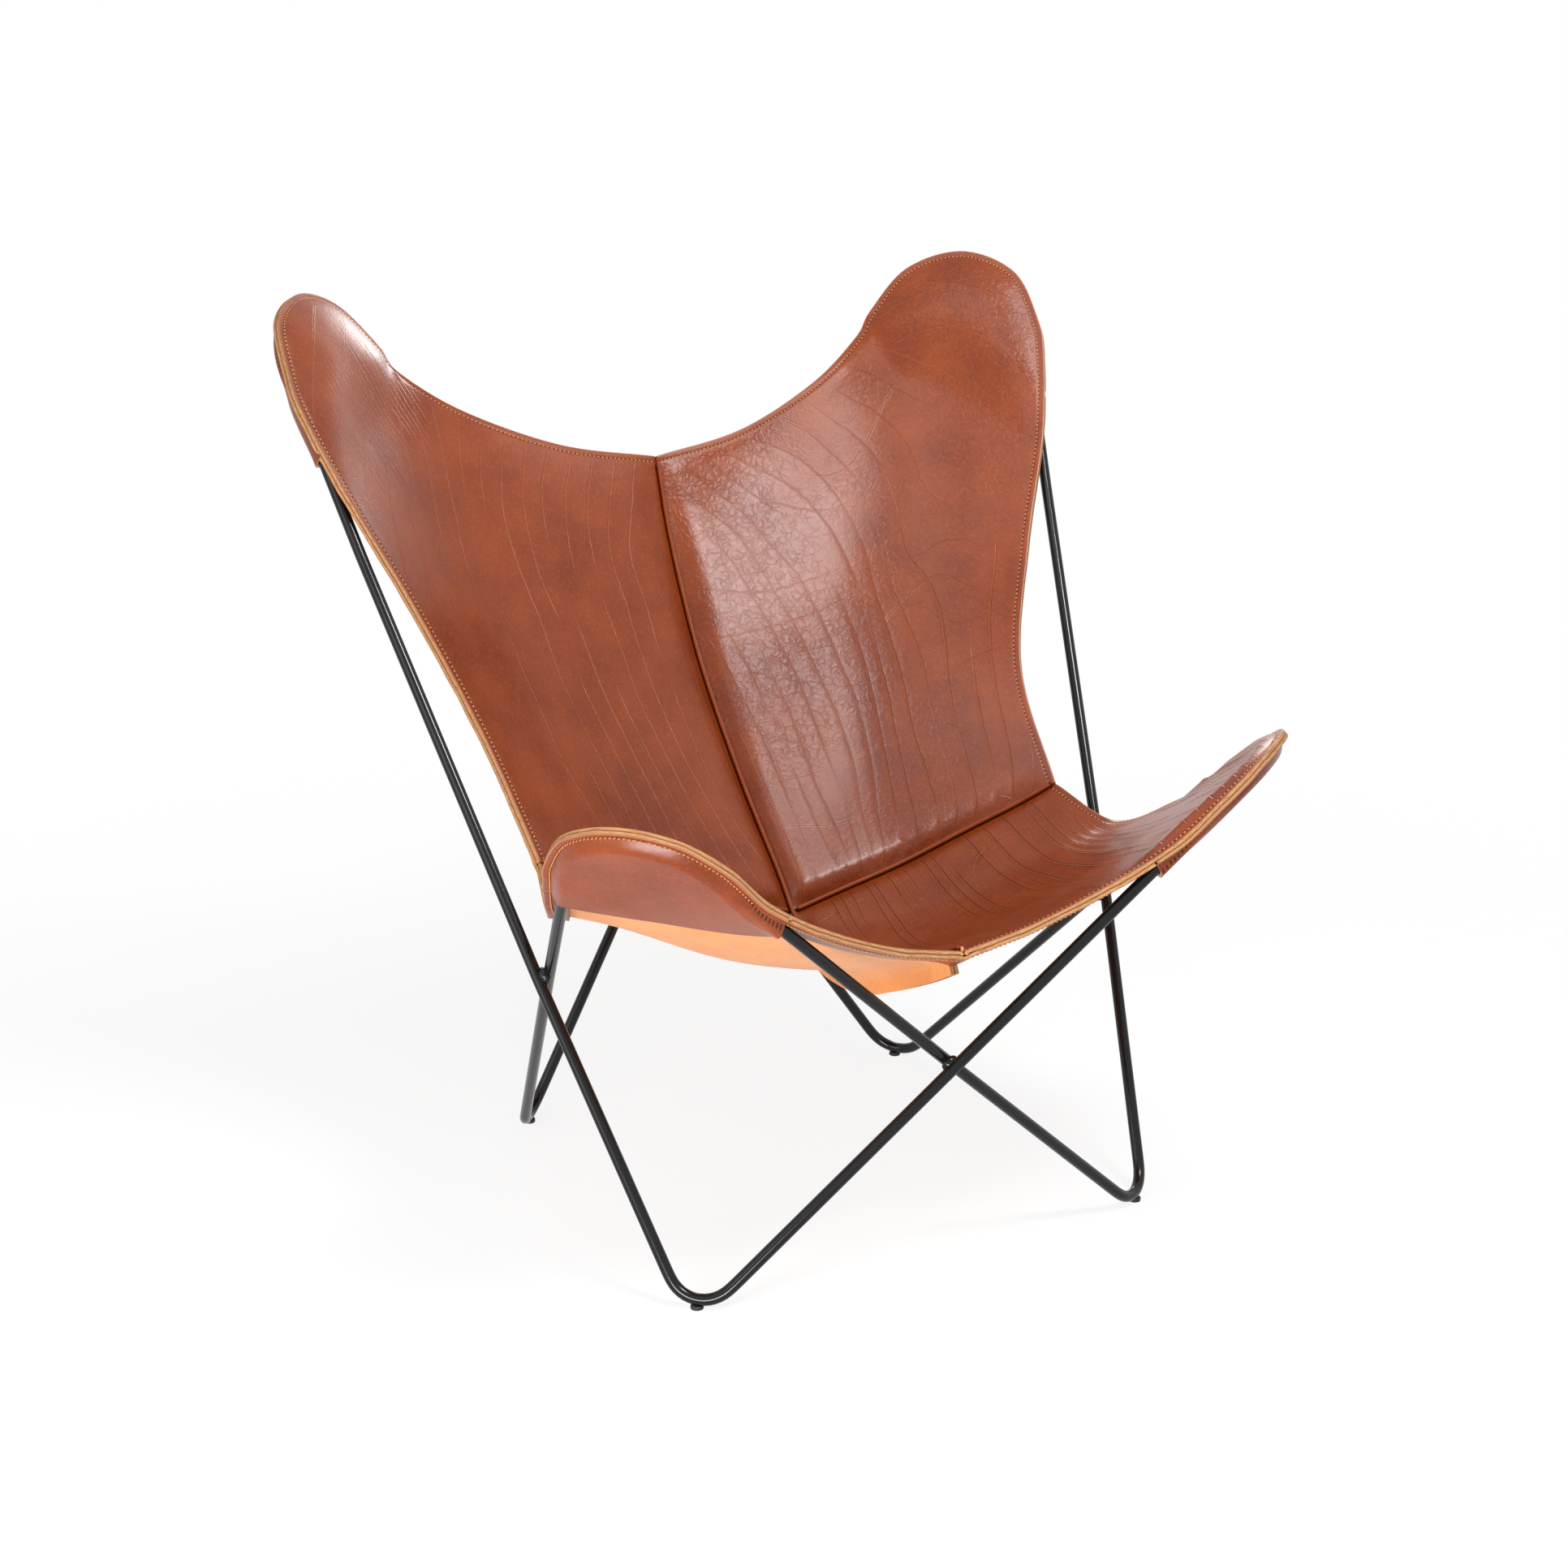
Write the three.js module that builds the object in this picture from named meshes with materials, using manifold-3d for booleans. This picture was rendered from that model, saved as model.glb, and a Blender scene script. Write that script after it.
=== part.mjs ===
// Butterfly sling chair: two bent and welded loops of steel rod carry a leather sling.
// Millimetres, +Z up. The chair faces -Y, and +X is on the right seen from the front.
// The origin is on the floor under the middle of the whole chair. The sizes below are measured
// from a point on the floor midway between the four feet, which lies a little further forward.
import * as THREE from 'three';
import { mergeVertices } from 'three/addons/utils/BufferGeometryUtils.js';
import Module from 'manifold-3d';

// Rod frame
const rodDiameter = 12;
const rodSides = 10;
const clearance = 0.3;            // air between two pieces that touch on the real chair
const middleBehindFeet = 47;      // the middle of the chair lies this far behind that point
const frontFoot = { x: 258.7, y: -247 };
const backFoot = { x: 241.9, y: 247 };
const footBend = 36;              // bend radii are measured to the rod's centre line
const tallBend = 87;
const lowBend = 79;
// The straight rods aim at these points, and the sling draws their upper ends in to the tips.
const tallAim = { x: 522.3, y: 521.2, z: 1142.3 };
const tallTip = { x: 486.4, y: 486.4, z: 1107.5 };
const tallMouth = { x: 404.3, y: 211, z: 668.5 };
const lowAim = { x: 410.8, y: -348.4, z: 578.3 };
const lowTip = { x: 428.1, y: -358.4, z: 599.8 };
const lowMouth = { x: 360.9, y: -178.7, z: 410.7 };
// One loop is moved this far to the front left and the other as far to the back right,
// so that they lie against each other where they cross.
const loopShift = { x: 6.15, y: 5.85 };
const weldReach = 9.5;
const weldHeight = 7;

// Foot pads
const padDiameter = 13;
const padWeb = 2.5;               // pad under the rod
const padCheek = 1.7;             // pad standing up beside the rod

// Leather sling
const leather = 4;
const topCentre = { y: 387, z: 709 };
const seamCross = { y: 53.5, z: 269.4 };
const frontCentre = { y: -304, z: 342 };
const sideJoin = { x: 302, y: 12, z: 384 };
const flangeDepth = 18;           // seam allowance that hangs below the grain face
const bandCells = 2;              // rows of the panel's grid that an edge band covers
const band_shares = { end: 0.02, inner: 0.003 };   // left free at a pocket's mouth and at a fold
const rollHeight = 12;            // each panel rises beside its seams and sinks away again
const rollWidth = 16;
const rollFade = 90;
const pipingRadius = 2.4;
const pipingLift = 4;
const pipingEnd = 9;              // bare length between a piping's end and the sling's edge

// The wings that slip over the rod tips. The sling hangs askew by the sway: a wing reaches that
// much further past its tip on the right than in the middle, and that much less on the left. Places are measured from the ends of the tip's bend:
// along the rod, out from it in the plane of the tip, and up from that plane to the grain face.
// A pocket's mouth starts a share of the way from the inner place towards the seam, and ends
// a share of the way from the first side place to the second.
const tallWing = {
  reach: 17.5, rise: 10, sway: 3.5,
  inner: { along: 37, out: 19, rise: 7 },
  side: [{ along: 43, out: 17.5, rise: 13 }, { along: 147, out: 2, rise: 18 }],
  mouth: { inner: 0, side: 0.45 },
  puff: 7, pocketDepth: 13.5, mouthDepth: 16,
};
const lowWing = {
  reach: 18, rise: 4.5, sway: 0,
  inner: { along: 69, out: 14, rise: 5.5 },
  side: [{ along: 38, out: 20, rise: 4 }, { along: 106, out: 20.5, rise: 15 }],
  mouth: { inner: 0.3, side: 0.3 },
  puff: 7, pocketDepth: 9.5, mouthDepth: 13.5,
};
const rimWidth = 12;              // flat stitched margin round a wing
const pocketRim = 8;              // the pocket drops to its full depth nearer the edge

// Curve points between two named places, as shares of the way from one to the other.
const backSeam_shares = [[0.097, 0.079], [0.379, 0.272], [0.676, 0.52], [0.892, 0.791]];
const seatSeam_shares = [[0.094, -0.24], [0.262, -0.35], [0.443, -0.267], [0.62, 0.063], [0.82, 0.518]];
const crossSeam_shares = [[0.209, 0.012, 0.145], [0.437, 0.084, 0.311], [0.679, 0.349, 0.572],
  [0.868, 0.687, 0.799]];
const topRun_shares = [[0.39, 0.15, 0.19], [0.76, 0.6, 0.58]];
const frontRun_shares = [[0.353, 0.14, 0.198], [0.7, 0.516, 0.558]];
const tallSideRun_shares = [[0.156, 0.472, 0.309], [0.56, 0.761, 0.674]];
const lowSideRun_shares = [[0.44, 0.55, -1.47]];
const normalStep_share = 0.02;
// How far into a wing, from its mouth to its far end, it has turned to lie along the rod's
// bend, and where its rise over the rod starts and is complete.
const wingPlane_share = 0.6;
const puff_shares = [-0.3, 0.1];
const grid_shares = [0, 0.045, 0.11, 0.21, 0.33, 0.46, 0.59, 0.71, 0.81, 0.9, 0.96, 1];

const steel = new THREE.MeshStandardMaterial({ color: 0x17161a, roughness: 0.4, metalness: 0.6 });
const rubber = new THREE.MeshStandardMaterial({ color: 0x141414, roughness: 0.8, metalness: 0 });
const grainLeather = new THREE.MeshStandardMaterial({ color: 0x8c4a30, roughness: 0.45, metalness: 0 });
const fleshLeather = new THREE.MeshStandardMaterial({ color: 0xc98a50, roughness: 0.8, metalness: 0 });

const wasm = await Module();
wasm.setup();
const chair = new THREE.Group();
const pieces = new THREE.Group();
pieces.position.y = -middleBehindFeet;
chair.add(pieces);
const vec = (p) => new THREE.Vector3(p.x ?? 0, p.y, p.z ?? 0);
const plus = (a, b, scale = 1) => a.clone().addScaledVector(b, scale);
const minus = (a, b) => a.clone().sub(b);
const unit = (a) => a.clone().normalize();
const mix = (a, b, t) => a.clone().lerp(b, t);
const smooth = THREE.MathUtils.smoothstep;
const mirrored = (p, side) => new THREE.Vector3(side * p.x, p.y, p.z);

function addPiece(name, geometry, material) {
  const mesh = new THREE.Mesh(geometry, material);
  mesh.name = name;
  pieces.add(mesh);
}

// A body from points and faces: equal points are joined, and the faces are turned outward.
function closedBody(points, faces) {
  const geometry = new THREE.BufferGeometry();
  geometry.setAttribute('position', new THREE.Float32BufferAttribute(points.flatMap((p) => p.toArray()), 3));
  geometry.setIndex(faces.flat());
  const merged = mergeVertices(geometry);
  const index = [...merged.index.array];
  const place = merged.attributes.position;
  const corner = [new THREE.Vector3(), new THREE.Vector3(), new THREE.Vector3()];
  const kept = [];
  let volume = 0;
  for (let i = 0; i < index.length; i += 3) {
    const [a, b, c] = index.slice(i, i + 3);
    if (a === b || b === c || c === a) continue;
    kept.push(a, b, c);
    [a, b, c].forEach((n, k) => corner[k].fromBufferAttribute(place, n));
    volume += corner[0].dot(corner[1].clone().cross(corner[2]));
  }
  merged.setIndex(volume < 0 ? kept.reverse() : kept);
  return merged;
}

function toSolid(geometry) {
  const bare = geometry.clone();
  bare.deleteAttribute('normal');
  bare.deleteAttribute('uv');
  const merged = mergeVertices(bare);
  return new wasm.Manifold(new wasm.Mesh({
    numProp: 3,
    vertProperties: new Float32Array(merged.attributes.position.array),
    triVerts: new Uint32Array(merged.index.array),
  }));
}

function toGeometry(solid) {
  const mesh = solid.getMesh();
  const geometry = new THREE.BufferGeometry();
  geometry.setAttribute('position', new THREE.BufferAttribute(mesh.vertProperties, 3));
  geometry.setIndex(new THREE.BufferAttribute(mesh.triVerts, 1));
  return geometry;
}

// A cut can leave loose slivers beside the body that is wanted.
const largest = (solid) => solid.decompose().reduce((a, b) => (b.volume() > a.volume() ? b : a));

// Rod frame. A bend is an arc that touches both straight runs that meet at a corner.
function bendAt(before, corner, after, radius) {
  const u = unit(minus(before, corner));
  const w = unit(minus(after, corner));
  const half = u.angleTo(w) / 2;
  const centre = plus(corner, unit(plus(u, w)), radius / Math.sin(half));
  const start = plus(corner, u, radius / Math.tan(half));
  const end = plus(corner, w, radius / Math.tan(half));
  const e1 = unit(minus(start, centre));
  const toEnd = minus(end, centre);
  const e2 = unit(plus(toEnd, e1, -toEnd.dot(e1)));
  const sweep = Math.PI - 2 * half;
  const at = (share, r = radius) => plus(plus(centre, e1, r * Math.cos(share * sweep)), e2,
    r * Math.sin(share * sweep));
  return { centre, start, end, u, w, at };
}

function closestPoints(a0, a1, b0, b1) {
  const u = minus(a1, a0);
  const v = minus(b1, b0);
  const w = minus(a0, b0);
  const uv = u.dot(v);
  const spread = u.lengthSq() * v.lengthSq() - uv * uv;
  const s = (uv * v.dot(w) - v.lengthSq() * u.dot(w)) / spread;
  const t = (u.lengthSq() * v.dot(w) - uv * u.dot(w)) / spread;
  return [plus(a0, u, s), plus(b0, v, t)];
}

// Corner names: F is a foot and T a tip, numbered round the chair from the front left.
const rodRadius = rodDiameter / 2;
const shift = new THREE.Vector3(loopShift.x, loopShift.y, 0);
const loops = { a: ['F1', 'T2', 'F3', 'T4'], b: ['F2', 'T1', 'F4', 'T3'] };
const loopOf = (name) => (loops.a.includes(name) ? 'a' : 'b');
const shifted = (point, name) => plus(point, shift, loopOf(name) === 'a' ? -1 : 1);
const neighbours = (name) => {
  const order = loops[loopOf(name)];
  const i = order.indexOf(name);
  return [order[(i + 3) % 4], order[(i + 1) % 4]];
};
const sideOf = { F1: -1, F2: 1, F3: 1, F4: -1, T1: -1, T2: 1, T3: 1, T4: -1 };
const isTip = (name) => name.startsWith('T');
const isTall = (name) => name === 'T3' || name === 'T4';
const aim = {};
for (const name of ['T1', 'T2']) aim[name] = shifted(mirrored(lowAim, sideOf[name]), name);
for (const name of ['T3', 'T4']) aim[name] = shifted(mirrored(tallAim, sideOf[name]), name);
for (const [name, foot] of [['F1', frontFoot], ['F2', frontFoot], ['F3', backFoot], ['F4', backFoot]]) {
  aim[name] = shifted(mirrored({ x: foot.x, y: foot.y, z: 0 }, sideOf[name]), name);
}
// Each foot corner is lowered or raised until its bend rests on its pad.
const bendSteps = 8;
for (let pass = 0; pass < 4; pass += 1) {
  for (const name of ['F1', 'F2', 'F3', 'F4']) {
    const [before, after] = neighbours(name);
    const bend = bendAt(aim[before], aim[name], aim[after], footBend);
    let lowest = Infinity;
    for (let i = 0; i <= bendSteps; i += 1) lowest = Math.min(lowest, bend.at(i / bendSteps).z);
    aim[name].z += padWeb + clearance + rodRadius - lowest;
  }
}
const tip = {};
for (const name of ['T1', 'T2']) tip[name] = shifted(mirrored(lowTip, sideOf[name]), name);
for (const name of ['T3', 'T4']) tip[name] = shifted(mirrored(tallTip, sideOf[name]), name);

// At each crossing the two rods lie side by side, one clearance apart.
const crossing = {};
const welds = [];
const crossings = [['weld_left', 'F1', 'T4', 'F4', 'T1'], ['weld_right', 'F2', 'T3', 'F3', 'T2'],
  ['weld_front', 'F1', 'T2', 'F2', 'T1'], ['weld_back', 'F3', 'T4', 'F4', 'T3']];
for (const [name, a, b, c, d] of crossings) {
  const [p, q] = closestPoints(aim[a], aim[b], aim[c], aim[d]);
  const across = unit(minus(q, p));
  const middle = mix(p, q, 1 / 2);
  const away = (rodDiameter + clearance) / 2;
  crossing[a + b] = crossing[b + a] = plus(middle, across, -away);
  crossing[c + d] = crossing[d + c] = plus(middle, across, away);
  welds.push({ name, middle, across });
}
// The run from a side foot to its tip passes a point at the mouth of the pocket.
const mouth = {};
for (const [name, foot, place] of [['T3', 'F2', tallMouth], ['T4', 'F1', tallMouth],
  ['T2', 'F3', lowMouth], ['T1', 'F4', lowMouth]]) {
  mouth[name + foot] = shifted(mirrored(place, sideOf[name]), name);
}
function bendOf(name) {
  const [before, after] = neighbours(name);
  const near = (other) => mouth[name + other] ?? crossing[name + other];
  if (isTip(name)) return bendAt(near(before), tip[name], near(after), isTall(name) ? tallBend : lowBend);
  return bendAt(near(before), aim[name], near(after), footBend);
}

class RodPath extends THREE.Curve {
  constructor(points) {
    super();
    this.points = points;
  }

  getPoint(t) {
    const count = this.points.length;
    return this.points[Math.round(t * count) % count].clone();
  }

  getTangent(t) {
    const count = this.points.length;
    const i = Math.round(t * count) % count;
    const here = this.points[i];
    const before = unit(minus(here, this.points[(i + count - 1) % count]));
    const after = unit(minus(this.points[(i + 1) % count], here));
    return unit(plus(before, after));
  }

  getPointAt(u) {
    return this.getPoint(u);
  }

  getTangentAt(u) {
    return this.getTangent(u);
  }
}

function loopPoints(loop) {
  const points = [];
  for (const name of loops[loop]) {
    const [before, after] = neighbours(name);
    const bend = bendOf(name);
    points.push(crossing[before + name]);
    if (mouth[name + before]) points.push(mouth[name + before]);
    for (let i = 0; i <= bendSteps; i += 1) points.push(bend.at(i / bendSteps));
    if (mouth[name + after]) points.push(mouth[name + after]);
  }
  return points;
}

const rodTube = (points, radius) => new THREE.TubeGeometry(new RodPath(points), points.length, radius,
  rodSides, true);
const roomForRods = [];
for (const loop of ['a', 'b']) {
  const points = loopPoints(loop);
  addPiece(`rod_loop_${loop}`, mergeVertices(rodTube(points, rodRadius)), steel);
  roomForRods.push(toSolid(rodTube(points, rodRadius + clearance)));
}
const clearOfRods = (solid) => roomForRods.reduce((rest, room) => rest.subtract(room), solid);

// A fillet of weld metal fills the corners round each crossing.
const weldRings = 10;
for (const { name, middle, across } of welds) {
  const ball = new THREE.SphereGeometry(1, 2 * weldRings, weldRings);
  ball.scale(weldReach, weldHeight, weldReach);
  ball.applyQuaternion(new THREE.Quaternion().setFromUnitVectors(new THREE.Vector3(0, 1, 0), across));
  ball.translate(middle.x, middle.y, middle.z);
  addPiece(name, toGeometry(largest(clearOfRods(toSolid(ball)))), steel);
}

// A rubber pad under each foot, grooved for the rod.
const padFaces = 20;
const padNames = { F1: 'foot_pad_front_left', F2: 'foot_pad_front_right', F3: 'foot_pad_back_right',
  F4: 'foot_pad_back_left' };
for (const [name, padName] of Object.entries(padNames)) {
  const bend = bendOf(name);
  const low = bend.at(1 / 2);
  const height = padWeb + padCheek;
  const disc = new THREE.CylinderGeometry(padDiameter / 2, padDiameter / 2, height, padFaces);
  disc.rotateX(Math.PI / 2);
  disc.translate(low.x, low.y, height / 2);
  addPiece(padName, toGeometry(clearOfRods(toSolid(disc))), rubber);
}

// Leather sling. Curves run through their points and are read by length.
function curveThrough(points) {
  const curve = new THREE.CatmullRomCurve3(points, false, 'catmullrom', 0.5);
  curve.arcLengthDivisions = 400;
  return curve;
}
const between = (from, to, shares) => shares.map(([x, y, z]) => new THREE.Vector3(
  from.x + x * (to.x - from.x), from.y + y * (to.y - from.y), from.z + z * (to.z - from.z)));
const top = vec(topCentre);
const cross = vec(seamCross);
const front = vec(frontCentre);
const planar = (shares) => shares.map(([y, z]) => [0, y, z]);
const seamCurve = {
  tall: curveThrough([cross, ...between(cross, top, planar(backSeam_shares)), top]),
  low: curveThrough([cross, ...between(cross, front, planar(seatSeam_shares)), front]),
};

// The outline of one wing and its two runs to the seams, split at the wing's far end.
function outline(kind, side) {
  const tall = kind === 'tall';
  const wing = tall ? tallWing : lowWing;
  const name = tall ? (side > 0 ? 'T3' : 'T4') : (side > 0 ? 'T2' : 'T1');
  const bend = bendOf(name);
  const sideFirst = Boolean(mouth[name + neighbours(name)[0]]);
  let up = unit(bend.u.clone().cross(bend.w));
  if (up.z < 0) up = up.negate();
  const shareFrom = (t) => (sideFirst ? 1 - t : t);
  const radius = tall ? tallBend : lowBend;
  const sway = side * wing.sway;
  const onBend = (t) => plus(bend.at(shareFrom(t), radius + wing.reach + sway), up, wing.rise);
  const beside = (t, run, place) => {
    const foot = bend.at(shareFrom(t));
    const out = unit(minus(foot, bend.centre));
    return plus(plus(plus(foot, run, place.along), out, place.out + sway), up, place.rise);
  };
  const innerRun = sideFirst ? bend.w : bend.u;
  const sideRun = sideFirst ? bend.u : bend.w;
  const inner = beside(0, innerRun, wing.inner);
  const [near, far] = wing.side.map((place) => beside(1, sideRun, place));
  const start = tall ? top : front;
  const end = mirrored(sideJoin, side);
  const arc = [0, 1 / 4, 1 / 2, 3 / 4, 1].map(onBend);
  const points = [start, ...between(start, inner, tall ? topRun_shares : frontRun_shares), inner, ...arc,
    near, far, ...between(end, far, tall ? tallSideRun_shares : lowSideRun_shares).reverse(), end];
  const whole = curveThrough(points);
  const apex = points.indexOf(arc[2]) / (points.length - 1);
  const runs = [[0, apex], [1, apex]].map(([from, to]) => {
    const samples = [];
    for (let i = 0; i <= 100; i += 1) samples.push(whole.getPoint(from + (i / 100) * (to - from)));
    return curveThrough(samples);
  });
  const shareAt = (run, point) => {
    let best = 0;
    for (let i = 0; i <= 400; i += 1) {
      if (run.getPointAt(i / 400).distanceTo(point) < run.getPointAt(best).distanceTo(point)) best = i / 400;
    }
    return best;
  };
  const pointAt = (place, share) => whole.getPoint((points.indexOf(place) + share) / (points.length - 1));
  return { inward: runs[0], outward: runs[1], up, wing,
    mouthU: shareAt(runs[0], pointAt(inner, -wing.mouth.inner)),
    mouthV: shareAt(runs[1], pointAt(near, wing.mouth.side)) };
}

const crossCurve = {};
for (const side of [-1, 1]) {
  const end = mirrored(sideJoin, side);
  crossCurve[side] = curveThrough([cross, ...between(cross, end, crossSeam_shares), end]);
}

// One quarter of the sling as a surface: u runs from the centre seam out, v from the cross seam
// up the back or to the front. The base is blended from its four edges, and the grain face
// rises from it beside the seams and over the rod in the wing.
function makeQuarter(kind, side) {
  const edge = outline(kind, side);
  const seam = seamCurve[kind];
  const across = crossCurve[side];
  const corners = [seam.getPoint(0), across.getPoint(1), seam.getPoint(1), edge.inward.getPoint(1)];
  const base = (u, v) => {
    const point = new THREE.Vector3();
    point.addScaledVector(across.getPointAt(u), 1 - v).addScaledVector(edge.inward.getPointAt(u), v);
    point.addScaledVector(seam.getPointAt(v), 1 - u).addScaledVector(edge.outward.getPointAt(v), u);
    const weights = [(1 - u) * (1 - v), u * (1 - v), (1 - u) * v, u * v];
    corners.forEach((corner, i) => point.addScaledVector(corner, -weights[i]));
    return point;
  };
  const inWing = (u, v) => (u - edge.mouthU) / (1 - edge.mouthU) + (v - edge.mouthV) / (1 - edge.mouthV) - 1;
  const step = normalStep_share;
  const normal = (u, v) => {
    const a = Math.min(Math.max(u, step), 1 - 2 * step);
    const b = Math.min(Math.max(v, step), 1 - 2 * step);
    const alongU = minus(base(a + step, b), base(a - step, b));
    const alongV = minus(base(a, b + step), base(a, b - step));
    let n = unit(alongU.cross(alongV));
    if (n.z < 0) n = n.negate();
    return unit(mix(n, edge.up, smooth(inWing(u, v), 0, wingPlane_share)));
  };
  const lengthU = (across.getLength() + edge.inward.getLength()) / 2;
  const lengthV = (seam.getLength() + edge.outward.getLength()) / 2;
  const roll = (d) => rollHeight * (1 - Math.exp(-((d / rollWidth) ** 2))) * Math.exp(-d / rollFade);
  const rim = (u, v, width) => smooth((1 - u) * lengthU, 0, width) * smooth((1 - v) * lengthV, 0, width);
  const rise = (u, v) => (1 - u ** 4) * (1 - v ** 4) * Math.min(roll(u * lengthU), roll(v * lengthV))
    + edge.wing.puff * rim(u, v, rimWidth) * smooth(inWing(u, v), ...puff_shares);
  const nodes = grid_shares.map((u) => grid_shares.map((v) => ({
    point: plus(base(u, v), normal(u, v), rise(u, v)), down: normal(u, v).negate() })));
  // A place under the panel, read from the facets of its grid.
  const under = (u, v, depth) => {
    const [i, j] = [u, v].map((share) => Math.max(grid_shares.findIndex((s) => s >= share), 1));
    const s = (u - grid_shares[i - 1]) / (grid_shares[i] - grid_shares[i - 1]);
    const t = (v - grid_shares[j - 1]) / (grid_shares[j] - grid_shares[j - 1]);
    const at = (a, b) => plus(nodes[a][b].point, nodes[a][b].down, depth);
    return mix(mix(at(i - 1, j - 1), at(i, j - 1), s), mix(at(i - 1, j), at(i, j), s), t);
  };
  return { kind, side, edge, normal, nodes, under, rise, rim };
}
const quarter = {};
for (const kind of ['tall', 'low']) {
  for (const side of [-1, 1]) quarter[kind + side] = makeQuarter(kind, side);
}

// Flesh-side directions at the seams, the same for both panels that meet there.
function centreSeamDown(kind, v) {
  const along = seamCurve[kind].getTangentAt(v);
  const down = new THREE.Vector3(0, along.z, -along.y);
  return down.z < 0 ? down : down.negate();
}
function crossSeamFrame(side, u) {
  const along = crossCurve[side].getTangentAt(u);
  const up = plus(quarter[`tall${side}`].normal(u, 0), quarter[`low${side}`].normal(u, 0));
  const down = unit(plus(up, along, -up.dot(along))).negate();
  let toBack = unit(along.clone().cross(down));
  if (toBack.y < 0) toBack = toBack.negate();
  return { down, toBack };
}

// A closed body between two grids of points: each present cell has an upper and a lower face,
// and each of its open sides a wall.
function sheetBody(upper, lower, present = () => true) {
  const rows = upper.length - 1;
  const columns = upper[0].length - 1;
  const points = [...upper.flat(), ...lower.flat()];
  const up = (i, j) => i * (columns + 1) + j;
  const down = (i, j) => up(i, j) + (rows + 1) * (columns + 1);
  const has = (i, j) => i >= 0 && j >= 0 && i < rows && j < columns && present(i, j);
  const faces = [];
  const quad = (a, b, c, d) => faces.push([a, b, c], [a, c, d]);
  for (let i = 0; i < rows; i += 1) {
    for (let j = 0; j < columns; j += 1) {
      if (!has(i, j)) continue;
      const ring = [[i, j], [i + 1, j], [i + 1, j + 1], [i, j + 1]];
      quad(...ring.map((n) => up(...n)));
      quad(...ring.map((n) => down(...n)).reverse());
      [[i, j - 1], [i + 1, j], [i, j + 1], [i - 1, j]].forEach((next, k) => {
        if (has(...next)) return;
        const [p, q] = [ring[k], ring[(k + 1) % 4]];
        quad(up(...q), up(...p), down(...p), down(...q));
      });
    }
  }
  return closedBody(points, faces);
}

// A panel is folded down along both seams, and the folds stop short of the crossing seam.
const panelNames = { tall: 'back_panel', low: 'seat_panel' };
const sideNames = { '-1': 'left', 1: 'right' };
const cells = grid_shares.length - 1;
function panelGrids(q, thickness, spread) {
  const inX = new THREE.Vector3(q.side, 0, 0);
  const upper = [];
  const lower = [];
  grid_shares.forEach((u, i) => {
    const { down, toBack } = crossSeamFrame(q.side, u);
    const inY = toBack.multiplyScalar(q.kind === 'tall' ? 1 : -1);
    const upperRow = [];
    const lowerRow = [];
    grid_shares.forEach((v, j) => {
      const node = q.nodes[i][j];
      const point = node.point.clone();
      if (i === 0) point.addScaledVector(inX, clearance / 2);
      if (j === 0) point.addScaledVector(inY, clearance / 2);
      if (i === cells || j === cells) {
        const inner = q.nodes[i === cells ? i - 1 : i][j === cells ? j - 1 : j].point;
        point.addScaledVector(unit(minus(point, inner)), spread);
      }
      let under = plus(point, node.down, thickness);
      if (i === 0) under = plus(plus(point, inX, leather), centreSeamDown(q.kind, v), thickness);
      if (j === 0) under = plus(plus(point, inY, leather), down, thickness);
      if (i === 0 && j === 0) under.addScaledVector(inX, leather);
      upperRow.push(point);
      lowerRow.push(under);
      if (j === 0) {
        upperRow.unshift(plus(point, down, flangeDepth));
        lowerRow.unshift(plus(plus(point, inY, leather), down, flangeDepth));
      }
    });
    upper.push(upperRow);
    lower.push(lowerRow);
  });
  const fold = (row, offset) => row.map((point, j) => {
    const seamDown = centreSeamDown(q.kind, grid_shares[Math.max(j - 1, 0)]);
    return plus(plus(point, inX, offset), seamDown, flangeDepth);
  });
  upper.unshift(fold(upper[0], 0));
  lower.unshift(fold(upper[1], leather));
  return { upper, lower };
}
const panelCells = (i, j) => {
  if (i > 0 && j > 0) return true;
  if (i === 0) return j > 0 && j < cells - 1;
  return i > 1 && i < cells - 1;
};
const panelRoom = {};
const roomSpread = 0.4;             // what is sewn under a panel is kept clear past its edge too
for (const q of Object.values(quarter)) {
  const { upper, lower } = panelGrids(q, leather, 0);
  const body = sheetBody(upper, lower, panelCells);
  addPiece(`${panelNames[q.kind]}_${sideNames[q.side]}`, toGeometry(clearOfRods(toSolid(body))), grainLeather);
  const room = panelGrids(q, leather + clearance, roomSpread);
  panelRoom[q.kind + q.side] = toSolid(sheetBody(room.upper, room.lower, (i, j) => i > 0 && j > 0));
}

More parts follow.
